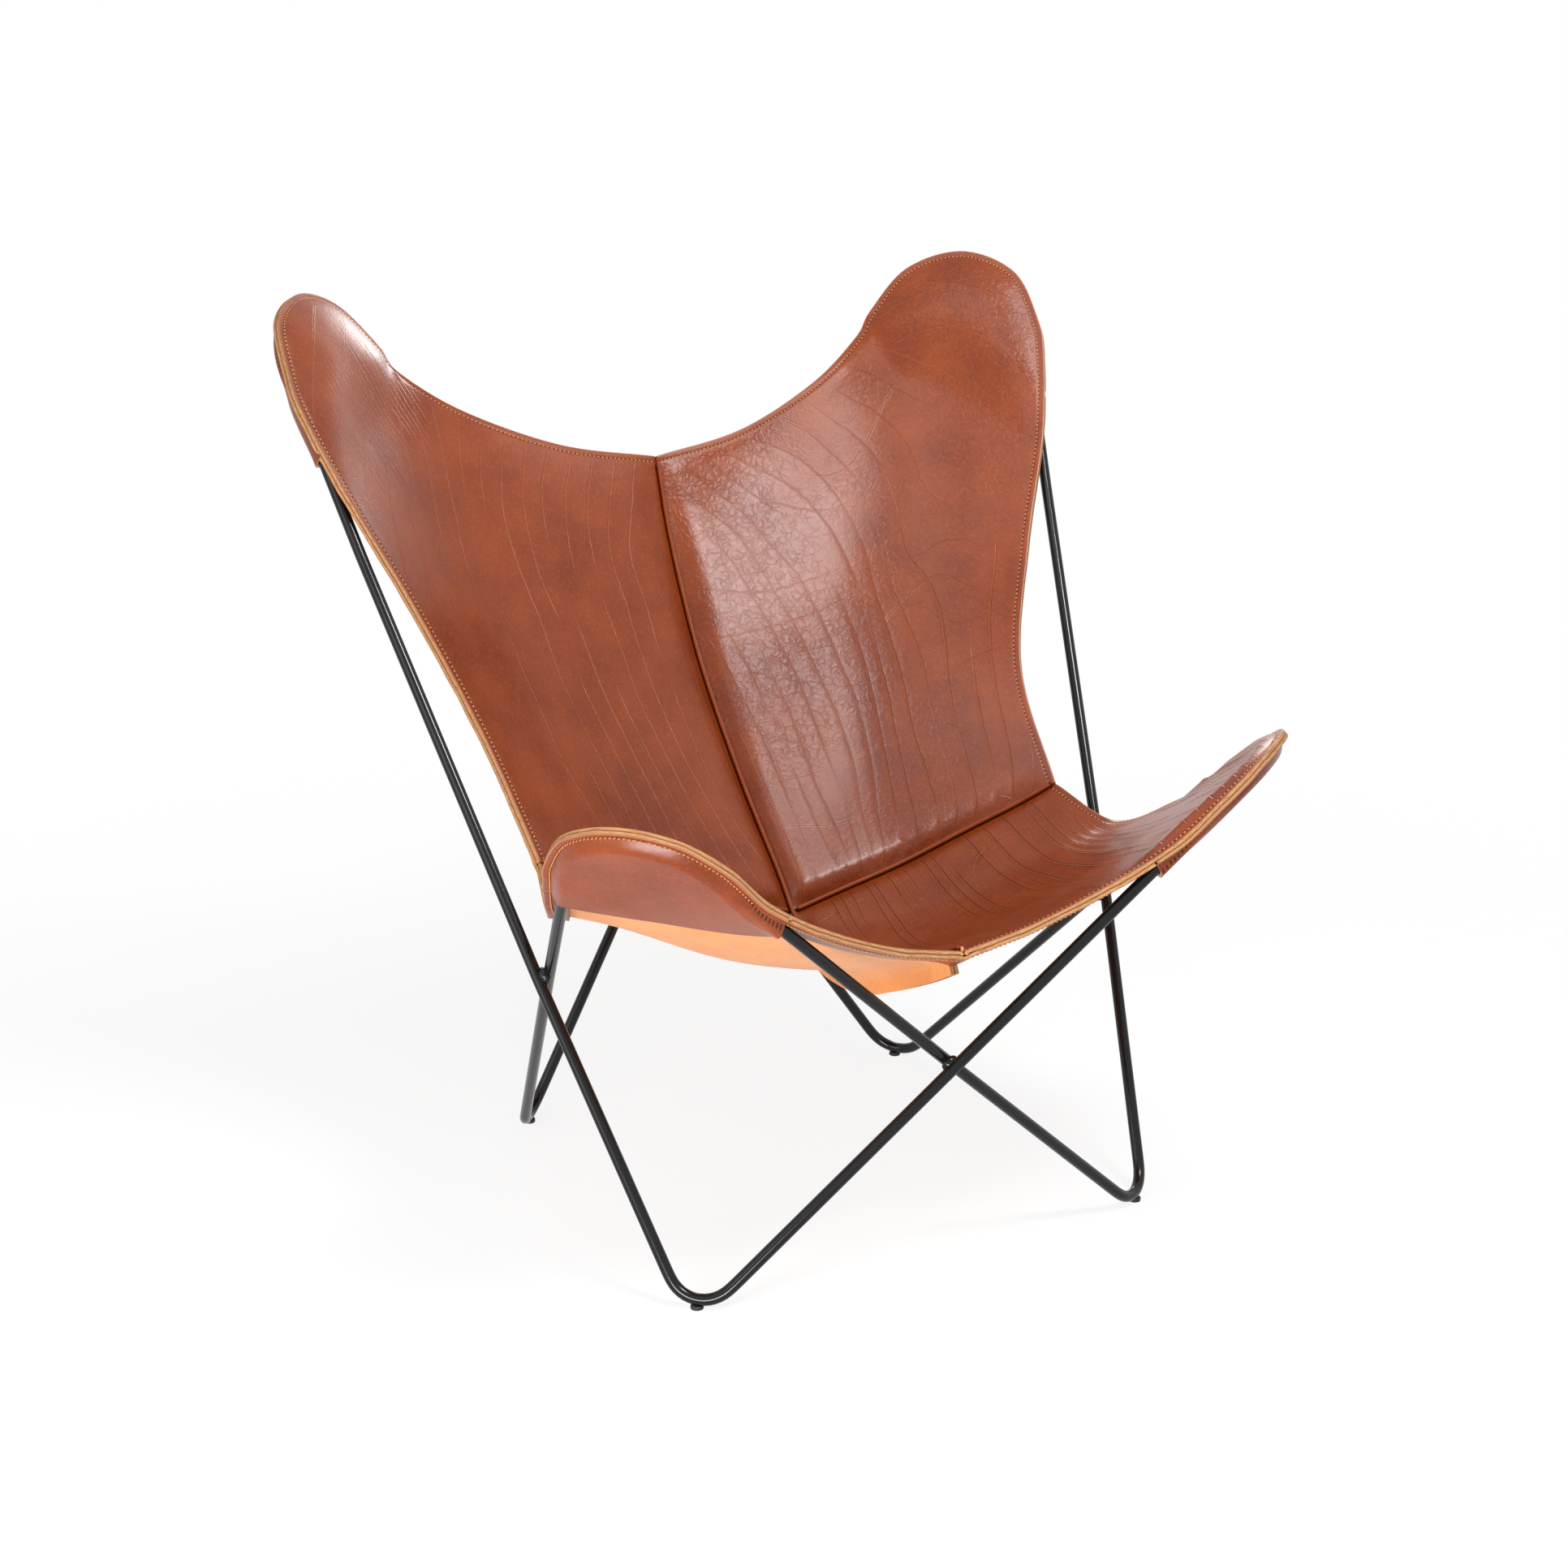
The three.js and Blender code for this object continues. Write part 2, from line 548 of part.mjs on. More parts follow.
// A pocket is sewn to the panel's margin and passes behind the rod. Its mouth is open.
const pocketNames = { tall: 'back_pocket', low: 'front_pocket' };
const pocketRibs = 8;
const pocketSteps = 10;
const seatDepth = 0.6;            // the pocket is drawn this far into the panel, then cut clear of it
for (const q of Object.values(quarter)) {
  const { mouthU, mouthV, wing } = q.edge;
  const upper = [];
  const lower = [];
  for (let i = 0; i <= pocketRibs; i += 1) {
    const s = i / pocketRibs;
    const depth = wing.mouthDepth + (wing.pocketDepth - wing.mouthDepth) * Math.min(2 * s, 1);
    const upperRow = [];
    const lowerRow = [];
    for (let j = 0; j <= pocketSteps; j += 1) {
      const t = j / pocketSteps;
      const u = 1 - t * (1 - mouthU) * (1 - s);
      const v = 1 - (1 - t) * (1 - mouthV) * (1 - s);
      const rim = q.rim(u, v, pocketRim);
      const drop = leather + (depth + q.rise(u, v)) * rim - seatDepth * (1 - rim);
      upperRow.push(q.under(u, v, drop));
      lowerRow.push(q.under(u, v, drop + leather + seatDepth * (1 - rim)));
    }
    upper.push(upperRow);
    lower.push(lowerRow);
  }
  const solid = clearOfRods(toSolid(sheetBody(upper, lower))).subtract(panelRoom[q.kind + q.side]);
  addPiece(`${pocketNames[q.kind]}_${sideNames[q.side]}`, toGeometry(largest(solid)), grainLeather);
}

// Bands reinforce the edge between the pockets. They lie under the panels, one grid for each
// half, joined where the halves meet.
function bandRow(q, fixedU, share, depth) {
  const inner = grid_shares[cells - bandCells] + band_shares.inner;
  return [inner, ...grid_shares.slice(cells - bandCells + 1)].map((k) => (
    fixedU ? q.under(share, k, depth) : q.under(k, share, depth)));
}
function band(name, first, second, fixedU) {
  const mouthAt = (q) => (fixedU ? q.edge.mouthU : q.edge.mouthV);
  const layer = (depth) => {
    const [one, other] = [first, second].map((q) => (
      [...grid_shares.filter((share) => share < mouthAt(q) - band_shares.end), mouthAt(q) - band_shares.end / 2].map(
        (share) => bandRow(q, fixedU, share, depth))));
    const middle = one[0].map((point, k) => mix(point, other[0][k], 1 / 2));
    return [...one.slice(1).reverse(), middle, ...other.slice(1)];
  };
  const under = leather + clearance;
  const body = clearOfRods(toSolid(sheetBody(layer(under - seatDepth), layer(under + leather))));
  const rooms = [first, second].map((q) => panelRoom[q.kind + q.side]);
  addPiece(name, toGeometry(largest(rooms.reduce((rest, room) => rest.subtract(room), body))), fleshLeather);
}
band('edge_band_back', quarter['tall-1'], quarter.tall1, true);
band('edge_band_front', quarter['low-1'], quarter.low1, true);
band('edge_band_left', quarter['tall-1'], quarter['low-1'], false);
band('edge_band_right', quarter.tall1, quarter.low1, false);

// Piping lies in the valley of each seam on the grain side.
const pipingSides = 8;
function piping(name, points) {
  const curve = curveThrough(points);
  const ring = [];
  for (let i = 0; i < pipingSides; i += 1) {
    const angle = (2 * Math.PI * i) / pipingSides;
    ring.push(new THREE.Vector2(pipingRadius * Math.cos(angle), pipingRadius * Math.sin(angle)));
  }
  const geometry = new THREE.ExtrudeGeometry(new THREE.Shape(ring), { steps: points.length * 2,
    extrudePath: curve });
  addPiece(name, geometry, grainLeather);
}
function seamPoints(curve, lift, from, to, count) {
  const points = [];
  for (let i = 0; i <= count; i += 1) {
    const t = from + ((to - from) * i) / count;
    points.push(plus(curve.getPointAt(t), lift(t), -pipingLift));
  }
  return points;
}
const pipingStart = 2 * pipingRadius + clearance;
const halves = ['tall', 'low'].map((kind) => {
  const curve = seamCurve[kind];
  const end = 1 - pipingEnd / curve.getLength();
  return seamPoints(curve, (t) => centreSeamDown(kind, t), (2 * pipingStart) / curve.getLength(), end, 8);
});
piping('piping_centre', [...halves[0].reverse(), ...halves[1]]);
for (const side of [-1, 1]) {
  const curve = crossCurve[side];
  const length = curve.getLength();
  piping(`piping_cross_${sideNames[side]}`, seamPoints(curve, (t) => crossSeamFrame(side, t).down,
    pipingStart / length, 1 - pipingEnd / length, 8));
}

export default chair;
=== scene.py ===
# Butterfly sling chair: two welded loops of black steel rod carry a sewn leather sling.
# Sizes are in millimetres, measured from the floor midway between the four feet, and become
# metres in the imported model's frame when a mesh is put into the scene.
from functools import partial
from math import pi, radians, sin

import bpy
import numpy as np
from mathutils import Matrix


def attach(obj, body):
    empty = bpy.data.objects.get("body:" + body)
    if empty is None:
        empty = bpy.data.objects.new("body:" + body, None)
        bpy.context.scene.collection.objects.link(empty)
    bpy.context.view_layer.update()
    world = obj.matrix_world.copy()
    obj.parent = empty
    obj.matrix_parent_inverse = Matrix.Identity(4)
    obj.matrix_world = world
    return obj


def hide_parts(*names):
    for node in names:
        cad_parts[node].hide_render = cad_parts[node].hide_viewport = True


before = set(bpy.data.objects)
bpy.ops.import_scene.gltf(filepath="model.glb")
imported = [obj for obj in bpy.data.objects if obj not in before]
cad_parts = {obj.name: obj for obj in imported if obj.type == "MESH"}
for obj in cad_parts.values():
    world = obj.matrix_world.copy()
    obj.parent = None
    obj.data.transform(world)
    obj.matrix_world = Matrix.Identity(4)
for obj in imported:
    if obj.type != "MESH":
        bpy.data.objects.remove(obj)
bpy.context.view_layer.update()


# Camera. It stands in front of the chair and to its left, a little above the back, and looks
# down at the seat, as the photograph's camera did.
camera_tilt, camera_turn = 16.54, -27.08          # degrees below level, and from straight back
camera = bpy.data.objects.new("camera", bpy.data.cameras.new("camera"))
camera.data.sensor_width, camera.data.lens = 36, 64.29
camera.location = (-1.2926, -2.5045, 1.2515)
camera.rotation_euler = (radians(90 - camera_tilt), 0, radians(camera_turn))
bpy.context.collection.objects.link(camera)
bpy.context.scene.camera = camera
bpy.context.scene.view_settings.view_transform = "Standard"


# Studio. A pale floor runs into a pale surround, lit by large soft boxes. The camera and the
# glossy finishes see the surround as plain white, and the floor keeps a faint shadow.
def linear(colour):
    """An sRGB hex colour as linear light: below 0.04045 a channel is divided by 12.92, and
    above it 0.055 is added, the sum divided by 1.055 and raised to the power 2.4."""
    channels = np.array([int(colour[i:i + 2], 16) for i in (1, 3, 5)]) / 255
    light = np.where(channels > 0.04045, ((channels + 0.055) / 1.055) ** 2.4, channels / 12.92)
    return (*light.tolist(), 1)


def add_node(tree, kind, inputs=(), ramp=(), **settings):
    """Adds a shader node, sets its properties and the places and colours of its ramp, and fills
    its inputs, by name or in their order, with values and links. A node that is given as an
    input stands for its first output. A kind of maths is followed by its operation, and a
    setting with a capital is an input."""
    kind, *operation = kind.split()
    node = tree.nodes.new("ShaderNode" + kind)
    inputs = dict(inputs if isinstance(inputs, dict) else enumerate(inputs))
    if operation:
        node.operation = operation[0]
    for name, value in settings.items():
        if name[0].isupper():
            inputs[name] = value
        else:
            setattr(node, name, value)
    for i, place in enumerate(ramp):
        stop = node.color_ramp.elements[i]
        stop.position, stop.color = place, linear(ramp[place])
    for name, value in inputs.items():
        if isinstance(value, bpy.types.Node):
            value = next(output for output in value.outputs if output.enabled)
        if isinstance(value, bpy.types.NodeSocket):
            tree.links.new(value, node.inputs[name])
        else:
            node.inputs[name].default_value = value
    return node


def start(holder):
    """Empties the node tree of a material or a world, and readies add_node for it."""
    holder.use_nodes = True
    holder.node_tree.nodes.clear()
    return holder, partial(add_node, holder.node_tree)


def seen_as_white(add):
    """1 for the rays that see the surround: the camera's own, and those of gloss and glass."""
    rays = add("LightPath").outputs
    seen = add("Math MAXIMUM", (rays["Is Camera Ray"], rays["Is Glossy Ray"]))
    return add("Math MAXIMUM", (seen, rays["Is Transmission Ray"]))


surround_light = 0.36
floor_shade = 0.16                    # how much of the floor's look is lit, and so takes shadow
shade_reach = (0.7, 1.8)              # metres: beyond the second the floor is plain white
floor_half = 9
soft_step = {"interpolation_type": "SMOOTHSTEP"}
world, add = start(bpy.data.worlds.new("white surround"))
strength = add("MapRange", (seen_as_white(add), 0, 1, surround_light, 1))
add("OutputWorld", (add("Background", (linear("#ffffff"), strength)),))
bpy.context.scene.world = world

paper, add = start(bpy.data.materials.new("matt white backdrop paper"))
seen = seen_as_white(add)
away = add("VectorMath LENGTH", (add("TexCoord").outputs["Object"],))
white = add("MapRange", (away, *shade_reach, 1 - floor_shade, 1), **soft_step)
lit = add("BsdfDiffuse", Color=linear("#f2f2f2"), Roughness=1.0)
glow = add("Emission", Color=linear("#ffffff"), Strength=1.0)
share = add("Math MULTIPLY", (seen, white))
add("OutputMaterial", (add("MixShader", (share, lit, glow)),))
floor_mesh = bpy.data.meshes.new("floor")
floor_mesh.from_pydata([(x * floor_half, y * floor_half, 0) for x, y in ((-1, -1), (1, -1), (1, 1), (-1, 1))],
                       [], [(0, 1, 2, 3)])
floor_mesh.materials.append(paper)
floor = bpy.data.objects.new("floor", floor_mesh)
bpy.context.collection.objects.link(floor)

soft_boxes = {                        # place, where it points, width, height, watts
    "front_high": ((0.41, -1.24, 2.24), (0.1, 0.2, 0.6), 0.55, 0.45, 31),
    "front_top": ((0.5, -0.55, 2.45), (0.05, 0.0, 0.4), 0.7, 0.5, 12),
    "left_tall": ((-1.95, -0.6, 0.85), (0.05, 0.0, 0.5), 1.1, 1.5, 12),
    "overhead": ((-0.6, -0.3, 2.5), (0.3, 0.15, 0.6), 0.8, 0.8, 6),
    "right_behind": ((1.26, 1.7, 1.38), (-0.4, 0.35, 0.82), 0.55, 0.55, 9),
    "front_low": ((-1.1, -1.35, 0.15), (-0.25, -0.25, 0.42), 0.9, 0.4, 28),
}
for name, (place, target, width, height, watts) in soft_boxes.items():
    lamp = bpy.data.lights.new(name, "AREA")
    lamp.shape, lamp.size, lamp.size_y, lamp.energy = "RECTANGLE", width, height, watts
    box = bpy.data.objects.new(name, lamp)
    box.location = place
    aim = np.subtract(target, place)
    box.rotation_euler = (np.arctan2(np.hypot(aim[0], aim[1]), -aim[2]), 0, np.arctan2(-aim[0], aim[1]))
    bpy.context.collection.objects.link(box)


# Rod frame. Two closed loops of 12 mm round steel bar, bent cold and powder coated satin
# black. Each loop runs from a front foot over a low tip, a back foot and a tall tip.
mm = 0.001
middle_behind_feet = 47
clearance = 0.3
rod_radius, rod_sides, rod_step = 6, 20, 5
front_foot, back_foot = (258.7, -247, 0), (241.9, 247, 0)
foot_bend, tall_bend, low_bend = 36, 87, 79
tall_aim, tall_tip, tall_mouth = (522.3, 521.2, 1142.3), (486.4, 486.4, 1107.5), (404.3, 211, 668.5)
low_aim, low_tip, low_mouth = (410.8, -348.4, 578.3), (428.1, -358.4, 599.8), (360.9, -178.7, 410.7)
loop_shift = np.array([6.15, 5.85, 0])
pad_web = 2.5


def unit(v):
    return v / np.linalg.norm(v, axis=-1, keepdims=True)


def dot(a, b):
    return np.sum(a * b, axis=-1, keepdims=True)


class Bend:
    """An arc that touches both straight runs that meet at a corner. Its centre lies on the
    line that halves their angle, at the radius divided by the sine of the half angle."""

    def __init__(self, before, corner, after, radius):
        self.to_before, self.to_after, self.radius = unit(before - corner), unit(after - corner), radius
        half = np.arccos(self.to_before @ self.to_after) / 2
        self.centre = corner + unit(self.to_before + self.to_after) * radius / sin(half)
        self.e1 = unit(corner + self.to_before * radius / np.tan(half) - self.centre)
        end = corner + self.to_after * radius / np.tan(half) - self.centre
        self.e2 = unit(end - self.e1 * (end @ self.e1))
        self.sweep = pi - 2 * half

    def at(self, share, more=0):
        """Points a share of the way round, this much further out than the rod's centre line."""
        angle = np.asarray(share)[..., None] * self.sweep
        return self.centre + (self.radius + more) * (self.e1 * np.cos(angle) + self.e2 * np.sin(angle))


# F is a foot and T a tip, numbered round the chair from the front left.
loops = {"a": ["F1", "T2", "F3", "T4"], "b": ["F2", "T1", "F4", "T3"]}
loop_of = {name: loop for loop, names in loops.items() for name in names}
neighbours = {name: (names[i - 1], names[(i + 1) % 4])
              for names in loops.values() for i, name in enumerate(names)}


def on_side(name, place):
    """A place given for the right half of the chair, mirrored and moved with its loop."""
    side = -1 if name in ("F1", "F4", "T1", "T4") else 1
    return np.array(place) * (side, 1, 1) + loop_shift * (-1 if loop_of[name] == "a" else 1)


corners = {"F1": front_foot, "F2": front_foot, "F3": back_foot, "F4": back_foot,
           "T1": low_aim, "T2": low_aim, "T3": tall_aim, "T4": tall_aim}
aims = {name: on_side(name, corners[name]) for name in loop_of}
for _ in range(4):                    # each foot is moved up or down until it rests on its pad
    for name in ("F1", "F2", "F3", "F4"):
        before, after = neighbours[name]
        lowest = Bend(aims[before], aims[name], aims[after], foot_bend).at(np.linspace(0, 1, 9))[:, 2].min()
        aims[name][2] += pad_web + clearance + rod_radius - lowest


def closest_points(a0, a1, b0, b1):
    """The points of two lines that lie nearest each other, where the line that joins them is
    square to both."""
    u, v, w = a1 - a0, b1 - b0, a0 - b0
    spread = (u @ u) * (v @ v) - (u @ v) ** 2
    s = ((u @ v) * (v @ w) - (v @ v) * (u @ w)) / spread
    t = ((u @ u) * (v @ w) - (u @ v) * (u @ w)) / spread
    return a0 + s * u, b0 + t * v


crossing, welds = {}, {}
crossed_runs = {"weld_left": ("F1", "T4", "F4", "T1"), "weld_right": ("F2", "T3", "F3", "T2"),
                "weld_front": ("F1", "T2", "F2", "T1"), "weld_back": ("F3", "T4", "F4", "T3")}
for weld, (a, b, c, d) in crossed_runs.items():
    p, q = closest_points(aims[a], aims[b], aims[c], aims[d])
    across, away = unit(q - p), rod_radius + clearance / 2
    crossing[a, b] = crossing[b, a] = (p + q) / 2 - across * away
    crossing[c, d] = crossing[d, c] = (p + q) / 2 + across * away
    welds[weld] = ((p + q) / 2, across)
mouth = {("T3", "F2"): tall_mouth, ("T4", "F1"): tall_mouth, ("T2", "F3"): low_mouth, ("T1", "F4"): low_mouth}
mouth = {names: on_side(names[0], place) for names, place in mouth.items()}
tips = {"T1": low_tip, "T2": low_tip, "T3": tall_tip, "T4": tall_tip}
bends = {}
for name, (before, after) in neighbours.items():
    ends = [mouth.get((name, other), crossing[name, other]) for other in (before, after)]
    corner = on_side(name, tips[name]) if name in tips else aims[name]
    radius = foot_bend if name not in tips else tall_bend if name in ("T3", "T4") else low_bend
    bends[name] = Bend(ends[0], corner, ends[1], radius)


def along(path):
    """Reads a path of close points by length: a function that gives the place at a share of
    its length, in a straight line between the two nearest points, and the length."""
    run = np.concatenate([[0], np.cumsum(np.linalg.norm(np.diff(path, axis=0), axis=1))])
    read = lambda s: np.stack([np.interp(np.asarray(s) * run[-1], run, path[:, k]) for k in range(3)], -1)
    return read, run[-1]


def loop_path(names):
    """The loop's centre line, a point every few millimetres. Three times over, each point is
    moved to a quarter of both neighbours and half of itself, which rounds the slight kinks."""
    points = []
    for name in names:
        before, after = neighbours[name]
        points += [crossing[before, name], mouth.get((name, before)), *bends[name].at(np.linspace(0, 1, 25)),
                   mouth.get((name, after))]
    points = np.array([p for p in points if p is not None])
    read, length = along(np.vstack([points, points[:1]]))
    count = round(length / rod_step)
    path = read(np.arange(count) / count)
    for _ in range(3):
        path = (np.roll(path, 1, 0) + 2 * path + np.roll(path, -1, 0)) / 4
    return path


def carried(path, profile, up, closed=False):
    """A profile carried along a path: its point (a, b) lies at the path, plus a times the side
    and b times up. Up is made square to the path's direction, and side is square to both."""
    ahead = unit(np.roll(path, -1, 0) - np.roll(path, 1, 0)) if closed else unit(np.gradient(path, axis=0))
    up = unit(up - dot(up, ahead) * ahead)
    side = np.cross(ahead, up)
    a, b = np.moveaxis(np.asarray(profile), -1, 0)
    return path[:, None] + a[..., None] * side[:, None] + b[..., None] * up[:, None]


def ring_faces(rows, sides, closed=False):
    """Four-sided faces between neighbouring rings, and an end face on both ends of a tube."""
    i = np.arange(rows if closed else rows - 1)[:, None]
    j = np.arange(sides)[None]
    k, m = (i + 1) % rows, (j + 1) % sides
    faces = np.stack([i * sides + j, i * sides + m, k * sides + m, k * sides + j], -1).reshape(-1, 4).tolist()
    return faces if closed else [*faces, [*range(sides)][::-1], [*range((rows - 1) * sides, rows * sides)]]


def put(name, points, faces, finishes, node=None, kinds=None, sharp=40):
    """Puts a mesh into the scene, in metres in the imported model's frame, faces turned outward.
    It rides on the chair's one body, and may stand for a node of the solids."""
    points = (np.asarray(points).reshape(-1, 3) - (0, middle_behind_feet, 0)) * mm
    mesh = bpy.data.meshes.new(name)
    mesh.from_pydata(points.tolist(), [], faces)
    mesh.calc_loop_triangles()
    corners = np.empty(3 * len(mesh.loop_triangles), int)
    mesh.loop_triangles.foreach_get("vertices", corners)
    a, b, c = points[corners.reshape(-1, 3)].transpose(1, 0, 2)
    if np.sum(a * np.cross(b, c)) < 0:
        mesh.flip_normals()
    for finish in finishes:
        mesh.materials.append(finish)
    if kinds is not None:
        mesh.polygons.foreach_set("material_index", np.asarray(kinds, np.int32))
    mesh.shade_smooth()
    mesh.set_sharp_from_angle(angle=radians(sharp))
    piece = bpy.data.objects.new(name, mesh)
    bpy.context.collection.objects.link(piece)
    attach(piece, "root")
    if node:
        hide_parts(node)
    return piece


def circle(radius, sides):
    angle = np.arange(sides) * 2 * pi / sides
    return np.stack([radius * np.cos(angle), radius * np.sin(angle)], -1)


def even_finish(name, colours, tone, relief, bump, roughness, ior=1.5, specular=0.5):
    """A finish whose colour wanders between two with a noise, as its roughness does where two
    are given. Tone and relief are each a noise's size in mm and its detail, and may be the
    same. Bump is the relief's strength and its height in mm."""
    finish, add = start(bpy.data.materials.new(name))
    place = add("TexCoord").outputs["Object"]
    noise = {kind: add("TexNoise", Vector=place, Scale=1 / (kind[0] * mm), Detail=kind[1])
             for kind in dict.fromkeys((tone, relief))}
    shade = add("ValToRGB", (noise[tone],), ramp=dict(enumerate(colours)))
    if isinstance(roughness, tuple):
        roughness = add("MapRange", (noise[tone], 0, 1, *roughness))
    skin = add("Bump", Height=noise[relief], Strength=bump[0], Distance=bump[1] * mm)
    shader = add("BsdfPrincipled", {"Base Color": shade, "Specular IOR Level": specular}, IOR=ior,
                 Roughness=roughness, Normal=skin)
    add("OutputMaterial", (shader,))
    return finish


# Powder coat melts into a satin skin with a faint orange peel some 2 mm across.
powder_coat = even_finish("satin black powder coat", ("#0a090b", "#121013"), tone=(80, 3.0),
                          relief=(2, 1.0), bump=(0.2, 0.004), roughness=(0.12, 0.2), specular=0.3)

rod_paths = {loop: loop_path(names) for loop, names in loops.items()}
for loop, path in rod_paths.items():
    tube = carried(path, circle(rod_radius, rod_sides), path - path.mean(0), closed=True)
    put(f"steel_rod_loop_{loop}", tube, ring_faces(len(path), rod_sides, closed=True), [powder_coat],
        node=f"rod_loop_{loop}")


# Welds. Where the loops cross, a bead of weld metal fills the corners between the two rods.
# It was run round by hand, so its skin is faintly rippled, and it is coated with the rods.
weld_reach, weld_height = 9.5, 7
weld_ripple, weld_ripples, weld_rows, weld_sides, weld_pole = 0.025, 9, 20, 40, 0.06
turn = np.linspace(0, 2 * pi, weld_sides, endpoint=False)[None]
tilt = np.linspace(-pi / 2 + weld_pole, pi / 2 - weld_pole, weld_rows)[:, None]
out = (1 + weld_ripple * np.sin(weld_ripples * turn) * np.cos(tilt)) * weld_reach * np.cos(tilt)
for name, (middle, across) in welds.items():
    e1 = unit(np.cross(across, (0, 0, 1)))
    flat = (out * np.cos(turn))[..., None] * e1 + (out * np.sin(turn))[..., None] * np.cross(across, e1)
    bead = middle + flat + (weld_height * np.sin(tilt) * np.ones_like(turn))[..., None] * across
    put(f"{name}_bead", bead, ring_faces(weld_rows, weld_sides), [powder_coat], node=name,
        sharp=80)


# Foot pads. A small moulded rubber disc with rounded edges is glued under the lowest point of
# each foot, and a groove across its top takes the rod.
pad_sides, pad_grip = 36, 0.1
pad_profile = [(0.3, 0), (3, 0), (5.9, 0), (6.3, 0.2), (6.5, 0.6), (6.5, 1.6), (6.5, 2.8), (6.5, 3.6),
               (6.3, 4.0), (5.9, 4.2), (5, 4.2), (4, 4.2), (3, 4.2), (2, 4.2), (1, 4.2), (0.3, 4.2)]
rubber = even_finish("moulded black rubber", ("#111111", "#1d1c1c"), tone=(3, 3.0), relief=(3, 3.0),
                     bump=(0.5, 0.1), roughness=0.72, ior=1.52)     # matt, and dull with dust

r, z = np.array(pad_profile).T[:, :, None]
turn = np.linspace(0, 2 * pi, pad_sides, endpoint=False)[None]
x, y = r * np.cos(turn), r * np.sin(turn)
for name, node in {"F1": "foot_pad_front_left", "F2": "foot_pad_front_right", "F3": "foot_pad_back_right",
                   "F4": "foot_pad_back_left"}.items():
    low, ahead = bends[name].at(0.5), unit(bends[name].at(0.55) - bends[name].at(0.45))
    off = x * -ahead[1] + y * ahead[0]
    groove = pad_web + clearance + rod_radius - np.sqrt(np.maximum(rod_radius ** 2 - off ** 2, 0)) - pad_grip
    disc = np.stack([low[0] + x, low[1] + y, np.minimum(z, np.where(z > pad_web, groove, z))], -1)
    put(f"{node}_rubber", disc, ring_faces(len(r), pad_sides), [rubber], node=node)


# Shape of the sling. Four panels of 4 mm full-grain cowhide meet at a centre seam and a cross
# seam. Each panel's outline runs from its seams to a wing that slips over a rod tip.
leather = 4
band_width = 28
stitch_pitch, stitch_inset = 5, 7     # round the whole edge, which stays flat as far as the stitches
top_centre, seam_cross, front_centre = (0, 387, 709), (0, 53.5, 269.4), (0, -304, 342)
side_join = (302, 12, 384)
roll_height, roll_width, roll_fade = 12, 16, 90
# A wing's outline has 8 places: one on the inner side, five round the bend and two on the outer
# side. Reach and rise are how far outside and above the rod's centre line the five lie. Inner
# and side give run, reach and rise from the bend's ends, and sway moves each of the 8 outwards
# on the chair's right and inwards on its left. Mouth is how many places further the pocket goes.
tall_wing = {"reach": (14.8, 15.5, 17.5, 17.5, 16.5), "rise": 10, "sway": (3.5, 1.3, 2, 3, 2, 1, -2.5, -2),
             "inner": (37, 15, 12), "side": [(50, 21, 13), (147, 7.5, 18)], "mouth": (0, 0.45),
             "puff": 13, "puff_width": 68, "roundness": 2, "dish": 0, "depth": 13.5, "mouth_depth": 16}
low_wing = {"reach": (18, 18, 18, 18, 18), "rise": 4.5, "sway": (0, 0, 0, 0, 0, 0, 0, 0),
            "inner": (69, 14, 5.5), "side": [(38, 20, 4), (106, 20.5, 15)], "mouth": (0.3, 0.3),
            "puff": 7, "puff_width": 19, "roundness": 1.4, "dish": 5, "depth": 9, "mouth_depth": 11}
back_seam_shares = [(0.097, 0.079), (0.379, 0.272), (0.676, 0.52), (0.892, 0.791)]
seat_seam_shares = [(0.094, -0.24), (0.262, -0.35), (0.443, -0.267), (0.62, 0.063), (0.82, 0.518)]
cross_seam_shares = [(0.209, 0.012, 0.145), (0.437, 0.084, 0.311), (0.679, 0.349, 0.572),
                     (0.868, 0.687, 0.799)]
top_run_shares = [(0.39, 0.15, 0.19), (0.76, 0.6, 0.58)]
front_run_shares = [(0.353, 0.14, 0.198), (0.7, 0.516, 0.558)]
tall_side_shares = [(0.156, 0.472, 0.309), (0.56, 0.761, 0.674)]
low_side_shares = [(0.44, 0.55, -1.47)]
tall_wing.update(start=top_centre, inner_run=top_run_shares, side_run=tall_side_shares)
low_wing.update(start=front_centre, inner_run=front_run_shares, side_run=low_side_shares)
bends_reach_in = (7, 5)               # powers: how fast the outer edges' sharp bends fade inwards
curve_points, edge_points, rim_points = 4001, 3001, 2001
soft_points, soft_reach, soft_bells = 401, 100, 2.5
normal_step, seam_step = 0.02, 0.01
wing_turn, puff_start = (0, 0.6), (-0.4, 0.15)    # in the wing: where its plane and its puff come in
frame_reach = 25                      # how far a seam's own down direction reaches into a panel


def curve(points, t=None):
    """A curve through the points: between two of them it is a cubic whose direction at each
    is half the step from the point before to the point after. It is given at places t."""
    p = np.asarray(points, float)
    t = np.linspace(0, len(p) - 1, curve_points) if t is None else np.asarray(t, float)
    p = np.vstack([2 * p[0] - p[1], p, 2 * p[-1] - p[-2]])
    i = np.clip(np.floor(t).astype(int), 0, len(p) - 4)
    w = (t - i)[:, None]
    a, b, c, d = p[i], p[i + 1], p[i + 2], p[i + 3]
    m, n = (c - a) / 2, (d - b) / 2
    return b + m * w + (3 * (c - b) - 2 * m - n) * w ** 2 + (2 * (b - c) + m + n) * w ** 3


